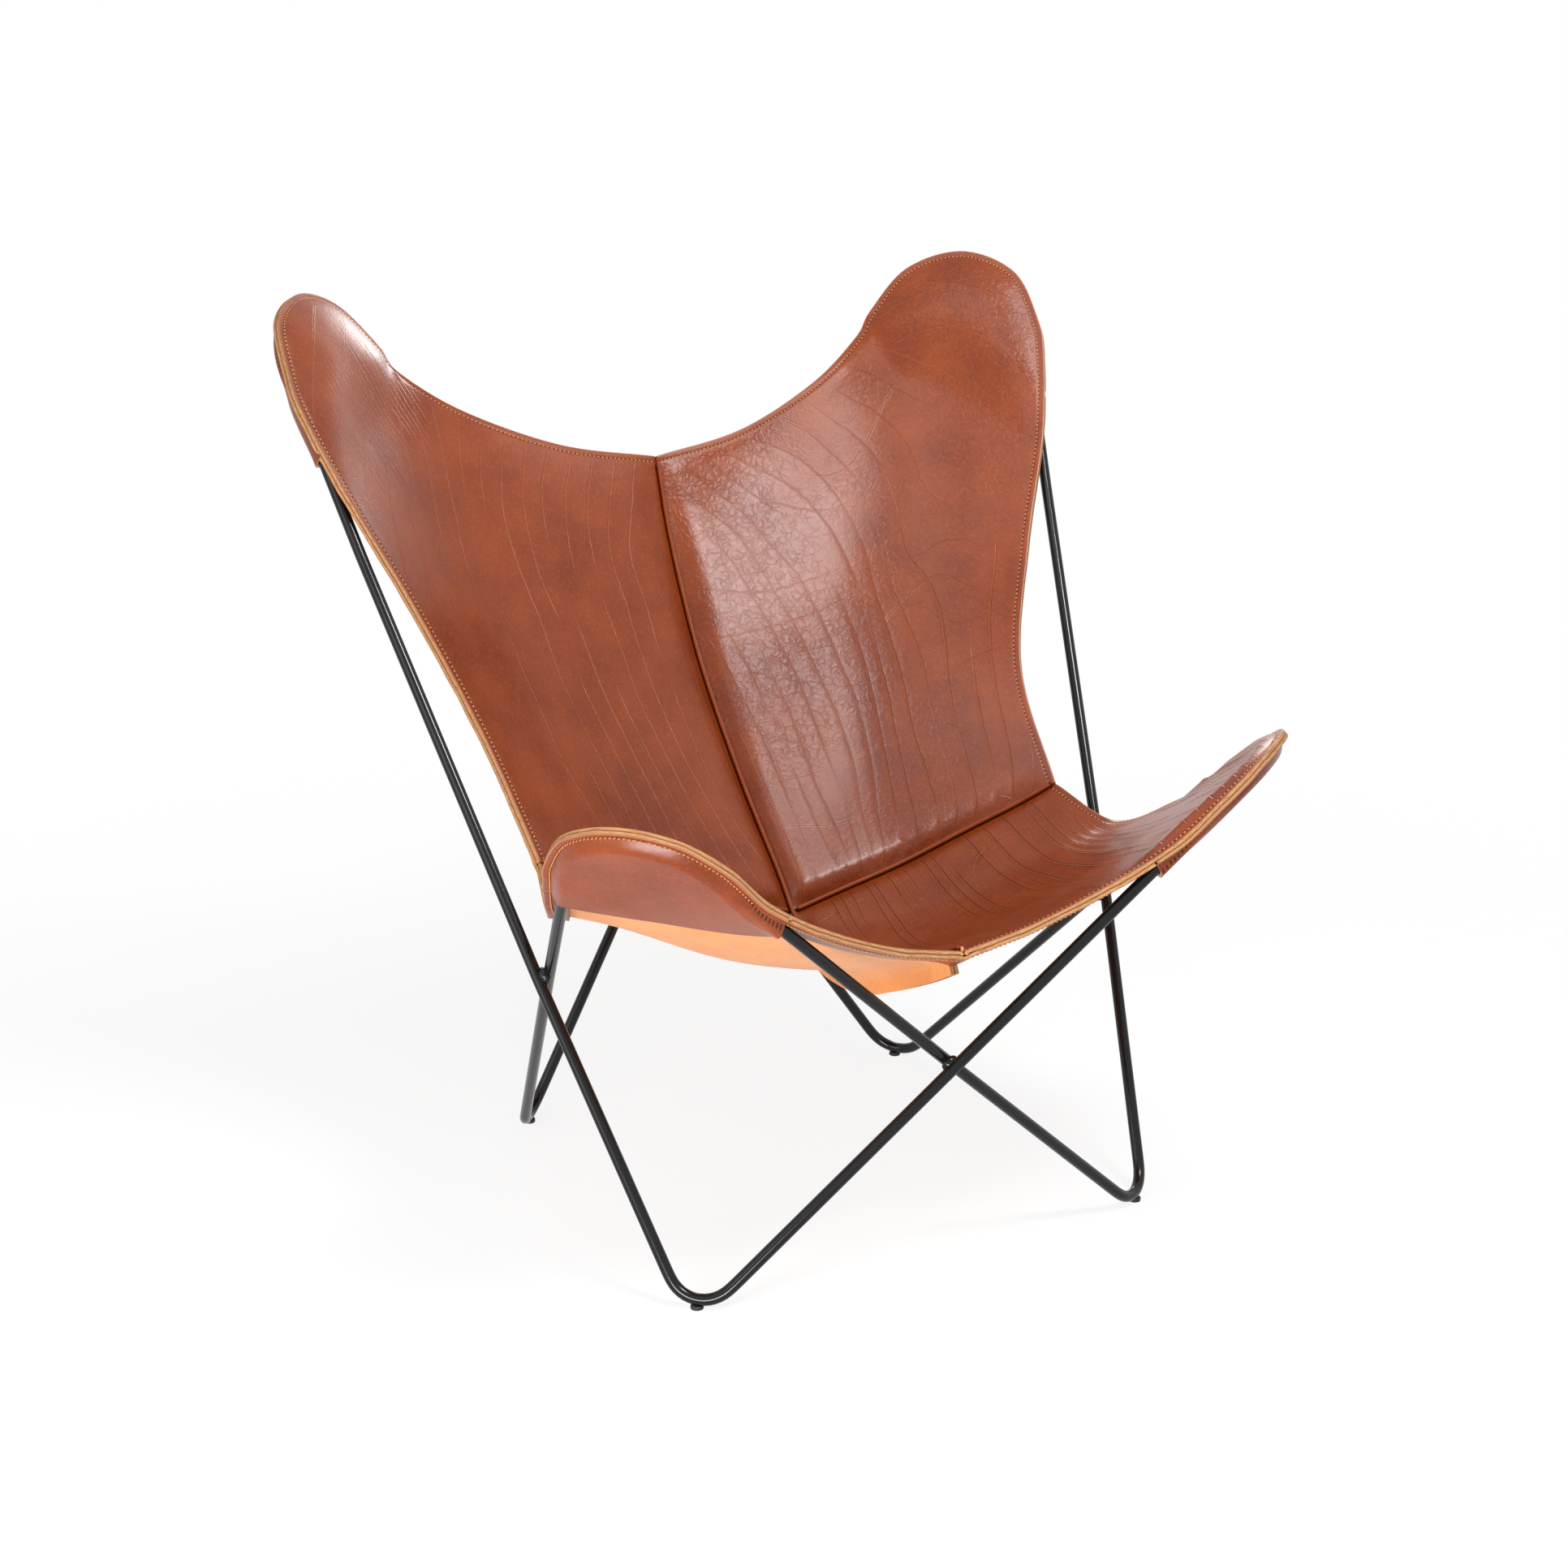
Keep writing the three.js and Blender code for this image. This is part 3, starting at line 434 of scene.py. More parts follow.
def between(start, end, shares):
    """Places whose x, y and z are these shares of the way from one place to another."""
    shares = np.array([(0, *s) if len(s) == 2 else s for s in shares])
    return np.asarray(start) + shares * (np.asarray(end) - np.asarray(start))


def eased(x, low, high):
    """0 below low, 1 above high, and 3 x squared less 2 x cubed of the share between."""
    x = np.clip((x - low) / (high - low), 0, 1)
    return x * x * (3 - 2 * x)


def seam_path(end, shares):
    return along(curve([seam_cross, *between(seam_cross, end, shares), end]))


seam = {"tall": seam_path(top_centre, back_seam_shares), "low": seam_path(front_centre, seat_seam_shares)}
cross_seam = {side: seam_path(np.array(side_join) * (side, 1, 1), cross_seam_shares) for side in (-1, 1)}


def softened(read):
    """A path with its bends smoothed: each point is the mean of its neighbours, weighted by
    the bell curve. Past both ends the path goes on as its own half turn, so the ends stay."""
    share, reach = np.linspace(0, 1, soft_points), soft_reach
    points, bell = read(share), np.exp(-0.5 * (np.arange(-reach, reach + 1) / (reach / soft_bells)) ** 2)
    longer = np.vstack([2 * points[0] - points[reach:0:-1], points,
                        2 * points[-1] - points[-2:-reach - 2:-1]])
    smooth = [np.convolve(longer[:, k], bell / bell.sum(), "valid") for k in range(3)]
    return lambda s: np.stack([np.interp(np.asarray(s), share, one) for one in smooth], -1)


class Quarter:
    """One panel's place in space, by the shares u from the centre seam to the side and v from
    the cross seam to the end."""

    def __init__(self, kind, side):
        self.kind, self.side = kind, side
        self.wing = wing = tall_wing if kind == "tall" else low_wing
        name = {("tall", 1): "T3", ("tall", -1): "T4", ("low", 1): "T2", ("low", -1): "T1"}[kind, side]
        bend = bends[name]
        side_first = (name, neighbours[name][0]) in mouth
        self.up = unit(np.cross(bend.to_before, bend.to_after))
        self.up *= np.sign(self.up[2])
        from_inner = (lambda t: 1 - np.asarray(t)) if side_first else np.asarray
        sway = side * np.array(wing["sway"])
        reach = (wing["reach"] + sway[1:6])[:, None]
        arc = bend.at(from_inner(np.linspace(0, 1, 5)), reach) + self.up * wing["rise"]

        def beside(t, run, place, more):
            foot = bend.at(from_inner(t))
            return foot + run * place[0] + unit(foot - bend.centre) * (place[1] + more) + self.up * place[2]

        inner_run, side_run = (bend.to_before, bend.to_after)[::-1 if side_first else 1]
        inner = beside(0, inner_run, wing["inner"], sway[0])
        near, far = (beside(1, side_run, place, more) for place, more in zip(wing["side"], sway[6:]))
        start, end = wing["start"], np.array(side_join) * (side, 1, 1)
        points = np.vstack([start, between(start, inner, wing["inner_run"]), inner, arc, near, far,
                            between(end, far, wing["side_run"])[::-1], end])
        at_inner = 1 + len(wing["inner_run"])
        apex, last = at_inner + 3, len(points) - 1
        inward, outward = (curve(points, np.linspace(first, apex, edge_points)) for first in (0, last))
        (self.inward, inward_length), (self.outward, outward_length) = along(inward), along(outward)
        self.soft_inward, self.soft_outward = softened(self.inward), softened(self.outward)
        self.across, self.seam = cross_seam[side][0], seam[kind][0]
        self.width = (cross_seam[side][1] + inward_length) / 2
        self.length = (seam[kind][1] + outward_length) / 2
        run = np.linspace(0, 1, rim_points)
        marks = curve(points, [at_inner - wing["mouth"][0], at_inner + 6 + wing["mouth"][1]])
        self.mouth_u, self.mouth_v = (run[np.argmin(np.linalg.norm(read(run) - mark, axis=1))]
                                      for read, mark in zip((self.inward, self.outward), marks))
        self.rim = np.vstack([self.inward(run), self.outward(run)[-2::-1]])
        self.rim_run = np.concatenate([[0], np.cumsum(np.linalg.norm(np.diff(self.rim, axis=0), axis=1))])

    def base(self, u, v):
        """The patch blended from its four edges: the blend of the ends, plus the blend of the
        sides, less the blend of the corners. The sharp bends of the two outer edges, which are
        what softening takes from them, fade within a short way of the edge."""
        u, v = np.broadcast_arrays(u, v)
        a, b = u[..., None], v[..., None]
        inward, outward = self.soft_inward(u), self.soft_outward(v)
        point = self.across(u) * (1 - b) + inward * b + (self.inward(u) - inward) * b ** bends_reach_in[0]
        point = point + self.seam(v) * (1 - a) + outward * a
        point = point + (self.outward(v) - outward) * a ** bends_reach_in[1]
        corners = self.seam(0.0), self.across(1.0), self.seam(1.0), self.inward(1.0)
        for corner, weight in zip(corners, ((1 - a) * (1 - b), a * (1 - b), (1 - a) * b, a * b)):
            point = point - corner * weight
        return point

    def in_wing(self, u, v):
        """0 on the mouth of the pocket, and 1 at the wing's far end."""
        return (u - self.mouth_u) / (1 - self.mouth_u) + (v - self.mouth_v) / (1 - self.mouth_v) - 1

    def normal(self, u, v):
        """Square to the patch, read over a small step, and turned to the rod's plane in the wing."""
        step = normal_step
        a, b = (np.clip(x, step, 1 - 2 * step) for x in np.broadcast_arrays(u, v))
        n = unit(np.cross(self.base(a + step, b) - self.base(a - step, b),
                          self.base(a, b + step) - self.base(a, b - step)))
        n = n * np.sign(n[..., 2:])
        t = eased(self.in_wing(u, v), *wing_turn)[..., None]
        return unit(n * (1 - t) + self.up * t)

    def puff(self, u, v, edge):
        """How far the wing stands up inside its stitches: 1 less a power of the share of the
        puff's width that is left, and beyond that width a dish that sinks over two widths."""
        left = 1 - np.clip((edge - stitch_inset + 2) / self.wing["puff_width"], 0, 1)
        sink = eased(edge, self.wing["puff_width"], 3 * self.wing["puff_width"])
        wing = self.wing["puff"] * (1 - left ** self.wing["roundness"]) - self.wing["dish"] * sink
        return wing * eased(self.in_wing(u, v), *puff_start)

    def face(self, u, v):
        """The grain side without its creases, its downward direction, the distance from the cut
        edge and the place along it. It rises in a roll beside each seam, and over the rod in
        the wing."""
        u, v = np.broadcast_arrays(u, v)
        base, normal = self.base(u, v), self.normal(u, v)
        edge, place = nearest(base.reshape(-1, 3), self.rim)
        edge, place = edge.reshape(u.shape), self.rim_run[place].reshape(u.shape)
        x, y = u * self.width, v * self.length
        climb = [1 - np.exp(-(d / roll_width) ** 2) for d in (x, y)]
        fade = np.exp(-4 * x / roll_fade) + np.exp(-4 * y / roll_fade)
        rise = roll_height * (1 - u ** 4) * (1 - v ** 4) * climb[0] * climb[1] * fade ** (1 / 4)
        rise = rise + self.puff(u, v, edge)
        near_u, near_v = (1 - eased(d, 0, frame_reach)[..., None] for d in (x, y))
        down = unit(seam_down(self.kind, v) * near_u + cross_frame(self.side, u)[0] * near_v
                    - normal * (1 - near_u) * (1 - near_v))
        return base + normal * rise[..., None], down, edge, place


def nearest(points, path):
    """For each point, its distance from the nearest point of a path, and that point's index.
    Squared distance is the sum of both squares less twice the product."""
    squares, found, place = np.sum(path ** 2, 1), [], []
    for some in np.array_split(points, len(points) // 4000 + 1):
        far = squares - 2 * some @ path.T
        place.append(far.argmin(1))
        found.append(np.linalg.norm(some - path[place[-1]], axis=1))
    return np.concatenate(found), np.concatenate(place)


def seam_down(kind, v):
    """Square to the centre seam in the chair's middle plane, towards the flesh side."""
    read = seam[kind][0]
    ahead = read(np.minimum(v + seam_step, 1)) - read(np.maximum(v - seam_step, 0))
    down = unit(np.stack([0 * ahead[..., 0], ahead[..., 2], -ahead[..., 1]], -1))
    return -down * np.sign(down[..., 2:])


def cross_frame(side, u):
    """At the cross seam: down, square to it and to the mean of both panels, and to the back."""
    read = cross_seam[side][0]
    ahead = unit(read(np.minimum(u + seam_step, 1)) - read(np.maximum(u - seam_step, 0)))
    up = quarters["tall", side].normal(u, 0 * u) + quarters["low", side].normal(u, 0 * u)
    down = -unit(up - dot(up, ahead) * ahead)
    back = unit(np.cross(ahead, down))
    return down, back * np.sign(back[..., 1:2])


quarters = {(kind, side): Quarter(kind, side) for kind in ("tall", "low") for side in (-1, 1)}
all_rods = np.vstack([rod_paths["a"], rod_paths["b"]])
rod_ahead = np.vstack([unit(np.roll(p, -1, 0) - np.roll(p, 1, 0)) for p in rod_paths.values()])


least_slope = 0.05                    # a point whose way out runs flatter along the rod isn't moved
drawn_along = 16                      # times that the leather is drawn along, shared by the rounds


def room_for_rods(points, away, rounds):
    """How far each point of a grid has to move in its away direction to lie outside the rods,
    found anew in each round from where the last one left it. Round each need the leather is
    drawn along: the needs are averaged with their neighbours, and never sink below the need."""
    lift = np.zeros(points.shape[:-1])
    for _ in range(rounds):
        moved = points + away * lift[..., None]
        _, place = nearest(moved.reshape(-1, 3), all_rods)
        gap, ahead = moved - all_rods[place].reshape(points.shape), rod_ahead[place].reshape(points.shape)
        gap, out = gap - dot(gap, ahead) * ahead, away - dot(away, ahead) * ahead
        size, room = dot(out, out), (rod_radius + clearance) ** 2 - dot(gap, gap)
        need = -dot(gap, out) + np.sqrt(np.maximum(dot(gap, out) ** 2 + room * size, 0))
        need = np.where((room > 0) & (size > least_slope), need / np.maximum(size, least_slope), 0)[..., 0]
        lift = need = lift + np.minimum(need, 2 * rod_radius)
        for _ in range(drawn_along // rounds):
            wide = np.pad(lift, 1, mode="edge")
            mean = (wide[:-2, 1:-1] + wide[2:, 1:-1] + wide[1:-1, :-2] + wide[1:-1, 2:] + 2 * lift) / 6
            lift = np.maximum(need, mean)
    return lift[..., None]


def over_rods(q, face, down, edge, u, v):
    """The grain side, raised where the panel, or the band under its edge, lies on a rod."""
    banded = ((edge < band_width) & (q.in_wing(u, v) < -0.02))[..., None]
    return face - down * room_for_rods(face + down * (leather + banded * (leather + clearance)), -down, 1)


def random_field(x, y, seed):
    """A smooth random field from -1 to 1: seeded numbers on the whole points of the plane,
    blended across each square with eased weights."""
    table = np.random.default_rng(seed).uniform(-1, 1, (64, 64))
    i, j = np.floor(x).astype(int), np.floor(y).astype(int)
    a, b = eased(x - i, 0, 1), eased(y - j, 0, 1)
    at = lambda m, n: table[(i + m) % 64, (j + n) % 64]
    return (1 - a) * (1 - b) * at(0, 0) + a * (1 - b) * at(1, 0) + (1 - a) * b * at(0, 1) + a * b * at(1, 1)


waver_height, waver_length, waver_reach = 0.55, 22, 5
groove_depth, groove_width, edge_round = 0.4, 1.3, 0.5


def waver(place, edge):
    """How the pressed layers of an edge swell and thin along it, a few tenths of a millimetre:
    a random field along the edge, times a bell curve of the distance from it."""
    swell = waver_height * random_field(place / waver_length, 0 * place, 3)
    return swell * np.exp(-(edge / waver_reach) ** 2)


def outer_margin(edge):
    """The groove that the stitches draw into a sheet, a bell curve, and the rounding of its cut
    edge, which fades as an exponential of the distance from it."""
    groove = groove_depth * np.exp(-((edge - stitch_inset) / groove_width) ** 2)
    return groove + edge_round * np.exp(-edge / edge_round)


# Leather. The hide is tanned whole and drum dyed, so the grain side is cognac brown, satin and
# alive with growth lines, and the flesh side and the cut edges stay the tan of the fibres.

# The grain side: pores under a millimetre, soft pebbles of some 10 mm with grooves between them
# where the hide was loose, short fine wrinkles, and long growth lines that stand up on one side
# and dip on the other. The cracks between pebbles and the dip of each line are painted darker,
# a painted shade. Light flecks lie on its ripples, some 3 mm across. Needle holes lie 5 mm
# apart, 7 mm in from the cut edge, slanted as the stitches are, and are painted near black as
# painted shade in the hole.
grain, add = start(bpy.data.materials.new("cognac full-grain cowhide"))
place = add("TexCoord").outputs["Object"]
cut = add("UVMap", uv_map="cut").outputs["UV"]
long_line, cross_line, long_pitch, cross_pitch, long_strength, cross_strength, loose, edge, run = [
    add("Attribute", attribute_name=name).outputs["Fac"]
    for name in ("long_line", "cross_line", "long_pitch", "cross_pitch", "long_strength", "cross_strength",
                 "loose_grain", "edge_mm", "along_mm")]
wobble = add("TexNoise", Vector=place, Scale=1 / 0.012, Detail=3.0)
line_reach = 3.5                      # the profile of a line runs this far to both sides of it
line_profile = ((0.22, 0.5), (0.43, 1.0), (0.57, 0.0), (0.8, 0.5))       # place across it, and level
height, ridges, groove_shade = 0.0, 0.0, 0.0
for line, pitch, strength in ((long_line, long_pitch, long_strength),
                              (cross_line, cross_pitch, cross_strength)):
    away = add("Math MULTIPLY_ADD", (wobble, 0.12, line))
    for operation, *more in (("ADD", 0.44), ("FRACT",), ("SUBTRACT", 0.5), ("MULTIPLY", pitch)):
        away = add(f"Math {operation}", (away, *more))
    profile = add("ValToRGB", (add("MapRange", (away, -line_reach, line_reach)),))
    profile.color_ramp.interpolation = "EASE"
    profile.color_ramp.elements[0].color = profile.color_ramp.elements[1].color = (0.5, 0.5, 0.5, 1)
    for at, level in line_profile:
        profile.color_ramp.elements.new(at).color = (level, level, level, 1)
    rise = add("Math SUBTRACT", (profile, 0.5))
    rise = add("Math MULTIPLY", (rise, strength))
    height = add("Math MULTIPLY_ADD", (rise, 0.9, height))
    ridges = add("Math MAXIMUM", (rise, ridges))
    # The dip side of each line is kept apart to darken the colour below, a painted shade in the dip; the bump
    # gives the dip itself.
    groove_shade = add("Math MAXIMUM", (add("Math MULTIPLY", (rise, -1.0)), groove_shade))

crumple = add("TexNoise", Vector=place, Scale=1 / 0.016, Detail=3.0).outputs["Color"]
crumple = add("VectorMath SUBTRACT", (crumple, (0.5, 0.5, 0.5)))
crumple = add("VectorMath MULTIPLY_ADD", (crumple, (0.02, 0.02, 0.02), place))
pebbles = add("TexVoronoi", Vector=crumple, Scale=1 / 0.009, feature="DISTANCE_TO_EDGE")
dome = add("MapRange", (pebbles, 0, 0.4), **soft_step)
# Near a pebble's edge the cracks sink in the bump below and are painted darker in the colour, a painted shade
# in the cracks.
crack_and_shade = add("MapRange", (pebbles, 0, 0.09, 1, 0), **soft_step)
kept = add("TexNoise", Vector=place, Scale=1 / 0.014, Detail=2.0)
kept = add("MapRange", (kept, 0.38, 0.6), **soft_step)
crack_and_shade = add("Math MULTIPLY", (crack_and_shade, kept))
crack_and_shade = add("Math MULTIPLY", (crack_and_shade, loose))
puffed = add("Math MULTIPLY", (dome, loose))

bow = add("TexNoise", Vector=cut, Scale=1 / 0.03, Detail=3.0, noise_dimensions="2D").outputs["Color"]
bow = add("VectorMath SUBTRACT", (bow, (0.5, 0.5, 0.5)))
bent = add("VectorMath MULTIPLY_ADD", (bow, (0.02, 0.02, 0.0), cut))
stretched = add("Mapping", Vector=bent, Scale=(1 / 0.006, 1 / 0.014, 1.0))
wrinkle = add("TexVoronoi", Vector=stretched, Scale=1.0, voronoi_dimensions="2D",
              feature="DISTANCE_TO_EDGE")
wrinkle = add("MapRange", (wrinkle, 0, 0.12, 1, 0), **soft_step)
kept = add("TexNoise", Vector=cut, Scale=1 / 0.012, Detail=2.0, noise_dimensions="2D")
kept = add("MapRange", (kept, 0.5, 0.68, 0, 0.8), **soft_step)
wrinkle = add("Math MULTIPLY", (wrinkle, kept))
wrinkle = add("Math MULTIPLY", (wrinkle, cross_strength))
pores = add("TexVoronoi", Vector=place, Scale=1 / 0.0011, feature="SMOOTH_F1")
ripple = add("TexNoise", Vector=place, Scale=1 / 0.0035, Detail=3.0)
cloud = add("TexNoise", Vector=place, Scale=1 / 0.09, Detail=4.0, Roughness=0.6)

hole_slant, hole_width, hole_length = 0.8, 0.8, 1.4
step = add("Math MULTIPLY", (run, 1 / stitch_pitch))
step = add("Math FRACT", (step,))
step = add("Math MULTIPLY_ADD", (step, stitch_pitch, -stitch_pitch / 2))
inset = add("Math SUBTRACT", (edge, stitch_inset))
slit_a = add("Math MULTIPLY_ADD", (step, hole_slant, inset))
slit_b = add("Math MULTIPLY_ADD", (inset, -hole_slant, step))
slit_a = add("Math MULTIPLY", (slit_a, 1 / hole_width))
slit_b = add("Math MULTIPLY", (slit_b, 1 / hole_length))
slit = add("VectorMath LENGTH", (add("CombineXYZ", (slit_a, slit_b)),))
# Each needle hole sinks 1 mm in the bump and is painted near black in the colour, a painted shade in the
# hole.
hole_and_shade = add("MapRange", (slit, 0.8, 1.2, 1, 0))

tone = add("ValToRGB", (cloud,), ramp={0.35: "#6d2a0d", 0.68: "#833a14"})
flecks = add("MapRange", (ripple, 0.52, 0.75))
worn = add("MapRange", (edge, 0.2, 1.6, 0.6, 0))
# The line dips and the pebble cracks (#5e260f) and the needle holes (#2c130b) are painted shade.
for amount, share, colour in ((flecks, 0.35, "#9c4d20"), (ridges, 0.9, "#ad5c2b"),
                              (groove_shade, 0.95, "#5e260f"), (wrinkle, 0.3, "#b0622f"), (crack_and_shade, 0.4, "#5e260f"),
                              (worn, None, "#b9805c"), (hole_and_shade, None, "#2c130b")):
    if share:
        amount = add("Math MULTIPLY", (amount, share), use_clamp=True)
    tone = add("Mix", Factor=amount, A=tone, B=linear(colour), data_type="RGBA")
for amount, share in ((puffed, 0.3), (crack_and_shade, -0.22), (wrinkle, 0.16), (pores, 0.04), (ripple, 0.16),
                      (hole_and_shade, -1.0)):
    height = add("Math MULTIPLY_ADD", (amount, share, height))
relief = add("Bump", Height=height, Strength=1.0, Distance=mm)
gloss = add("MapRange", (cloud, 0, 1, 0.27, 0.38))
hide = add("BsdfPrincipled", {"Base Color": tone, "Roughness": gloss, "IOR": 1.5, "Specular IOR Level": 0.22,
                              "Coat Weight": 0.2, "Coat Roughness": 0.24, "Normal": relief})
add("OutputMaterial", (hide,))

# The flesh side: buffed fibres with no gloss, in soft lengthwise streaks, and darker clouds.
flesh, add = start(bpy.data.materials.new("natural flesh side of cowhide"))
place = add("TexCoord").outputs["Object"]
cut = add("UVMap", uv_map="cut").outputs["UV"]
streaks = add("Mapping", Vector=cut, Scale=(1 / 0.03, 1 / 0.004, 1.0))
streaks = add("TexNoise", Vector=streaks, Scale=1.0, Detail=4.0, noise_dimensions="2D")
streaks = add("MapRange", (streaks, 0.55, 0.75, 0, 0.35))
fibre = add("TexNoise", Vector=place, Scale=1 / 0.0012, Detail=3.0)
cloud = add("TexNoise", Vector=place, Scale=1 / 0.06, Detail=3.0)
tone = add("ValToRGB", (cloud,), ramp={0: "#c5773a", 1: "#d99454"})
tone = add("Mix", Factor=streaks, A=tone, B=linear("#a05a28"), data_type="RGBA")
relief = add("Bump", Height=fibre, Strength=0.8, Distance=0.3 * mm)
hide = add("BsdfPrincipled", {"Base Color": tone, "Roughness": 0.88, "IOR": 1.45, "Sheen Weight": 0.2,
                              "Normal": relief})
add("OutputMaterial", (hide,))

# The cut edge: bare fibres in layers along the edge, with the dyed skin as a thin dark line
# on top and a darker line near the bottom of the edge, where it lies on the layer below.
raw_edge, add = start(bpy.data.materials.new("raw cut edge of cowhide"))
cut = add("UVMap", uv_map="cut").outputs["UV"]
layers = add("Mapping", Vector=cut, Scale=(1 / 0.009, 1 / 0.0005, 1.0))
layers = add("TexNoise", Vector=layers, Scale=1.0, Detail=4.0, noise_dimensions="2D")
tone = add("ValToRGB", (layers,), ramp={0.3: "#8d5a32", 0.65: "#c08f60"})
depth = add("SeparateXYZ", (cut,)).outputs["Y"]
for reach, colour in (((0.0002, 0.0007, 1, 0), "#7a4128"), ((0.0029, 0.0037, 0, 0.75), "#5f3618")):
    line = add("MapRange", (depth, *reach))
    tone = add("Mix", Factor=line, A=tone, B=linear(colour), data_type="RGBA")
relief = add("Bump", Height=layers, Strength=0.9, Distance=0.4 * mm)
hide = add("BsdfPrincipled", {"Base Color": tone, "Roughness": 0.8, "IOR": 1.45, "Normal": relief})
add("OutputMaterial", (hide,))


def leather_sheet(name, node, upper, lower, cut, fields, present=None):
    """A closed sheet between two grids of points. Cells that aren't present are left out, and
    every open side gets a wall. The map called cut lays the sheet flat in metres, and on the
    walls it holds the place along the edge and the depth in it."""
    present = np.ones(np.subtract(upper.shape[:2], 1), bool) if present is None else present
    rows, columns = present.shape
    count = np.arange((rows + 1) * (columns + 1)).reshape(rows + 1, columns + 1)
    ring = np.stack([count[:-1, :-1], count[1:, :-1], count[1:, 1:], count[:-1, 1:]], -1)
    wide = np.pad(present, 1)
    faces = [ring[present], ring[present][:, ::-1] + count.size]
    for k, (i, j) in enumerate([(0, -1), (1, 0), (0, 1), (-1, 0)]):
        open_side = present & ~wide[1 + i:rows + 1 + i, 1 + j:columns + 1 + j]
        p, q = ring[open_side][:, k], ring[open_side][:, (k + 1) % 4]
        faces.append(np.stack([q, p, p + count.size, q + count.size], -1))
    kinds = np.repeat([0, 1, 2, 2, 2, 2], [len(f) for f in faces])
    used, compact = np.unique(np.vstack(faces), return_inverse=True)
    points = np.concatenate([upper.reshape(-1, 3), lower.reshape(-1, 3)])[used]
    piece = put(name, points, compact.reshape(-1, 4).tolist(), [grain, flesh, raw_edge],
                node=node, kinds=kinds)
    corner = np.empty(len(piece.data.loops), int)
    piece.data.loops.foreach_get("vertex_index", corner)
    corner = used[corner]
    flat = cut.reshape(-1, 2)[corner % count.size]
    depth = np.where(corner < count.size, 0, leather * mm)
    wall = np.repeat(kinds == 2, 4)[:, None]
    flat = np.where(wall, np.stack([flat.sum(1), depth], -1), flat)
    piece.data.uv_layers.new(name="cut").data.foreach_set("uv", flat.ravel())
    for field, values in fields.items():
        values = np.concatenate([values.ravel()] * 2)[used]
        piece.data.attributes.new(field, "FLOAT", "POINT").data.foreach_set("value", values)
    return piece


def laid_flat(grid, start=(0, 0)):
    """Lays a grid flat, in metres: across is the length run up along its rows, and up is the
    length run up along its columns."""
    across = np.pad(np.cumsum(np.linalg.norm(np.diff(grid, axis=0), axis=-1), 0), ((1, 0), (0, 0)))
    up = np.pad(np.cumsum(np.linalg.norm(np.diff(grid, axis=1), axis=-1), 1), ((0, 0), (1, 0)))
    return np.stack([across, up], -1) * mm + start


# Panels. Each was cut from the middle of a hide. Along both seams its border is folded down
# and sewn back to back with its neighbour's, and the folded border hangs below the seam.
flange_depth, flange_start, flange_stop = 18, 10, 28
seam_gap_reach = 8                    # how far from a seam its half gap of clearance fades out
fold_radius, fold_fillet = 3, 1.5
hang_rows = np.array([flange_depth, 12, 7.5])     # the folded border, down from the seam
near_rows = fold_radius + np.array([1.2, 2.6, 4.2, 6.2, 8.5, 11, 14])
edge_rows = np.array([14.5, 12.5, 11, 9.8, 8.9, 8.2, 7.6, 7, 6.4, 5.8, 5.1, 4.2, 3, 1.9, 1, 0.4, 0])
plain_step = 3.0


def seam_rows(length):
    """The rows of a panel's grid from a seam to the cut edge, as four lists: the share of the
    length, the drop below the face, and the flesh side's shift inward and depth. The fold is a
    quarter circle on the grain side and a small fillet on the flesh side."""
    turn, hang = np.linspace(0, pi / 2, 6), 0 * hang_rows
    inset, drop = fold_radius * (1 - np.cos(turn)), fold_radius * (1 - np.sin(turn))
    shift = leather + fold_fillet * (1 - np.cos(turn)) - inset
    depth = leather + fold_fillet * (1 - np.sin(turn)) - drop
    first, last = near_rows[-1], length - edge_rows[0]
    plain = np.linspace(first, last, int((last - first) / plain_step) + 2)[1:-1]
    out = np.concatenate([near_rows, plain, length - edge_rows])
    over_fold = (leather + fold_fillet - fold_radius) * np.exp((fold_radius - out) / 8)
    return [np.concatenate(rows) for rows in (
        (hang, inset / length, out / length), (hang_rows, drop, 0 * out), (hang + leather, shift, over_fold),
        (hang, depth, 0 * out + leather))]


# Growth lines of each panel: their spacing, how far they lean for each millimetre up the back
# or forward on the seat, how they bend and how they fan out over 100 mm, how plain they are,
# and the seed of the panel's random fields.
growth = {("tall", 1): (15, -0.13, 0.084, -0.155, 1.0, 5), ("tall", -1): (20, -0.39, 0.079, -0.063, 0.4, 31),
          ("low", 1): (10, 0.09, 0.029, -0.047, 1.7, 57), ("low", -1): (19, 0.09, 0.029, -0.047, 0.4, 83)}
ridge_height, ridge_width = 0.35, 2.6
puff_height, puff_reach = 0.9, 50
swell_height = 0.8
cross_spacing, wrinkle_spacing = 48, 5.3


def pitch_of(line, points):
    """The distance in space between whole numbers of a field on a grid of points: 1 over its
    slope, which comes from its steps along the rows and columns and the angle between these."""
    p, q = np.gradient(points, axis=0), np.gradient(points, axis=1)
    rise_p, rise_q = np.gradient(line, axis=0), np.gradient(line, axis=1)
    pp, pq, qq = (np.sum(a * b, -1) for a, b in ((p, p), (p, q), (q, q)))
    slope = qq * rise_p ** 2 - 2 * pq * rise_p * rise_q + pp * rise_q ** 2
    return 1 / np.sqrt(np.maximum(slope / np.maximum(pp * qq - pq ** 2, 1e-6), 1e-5))


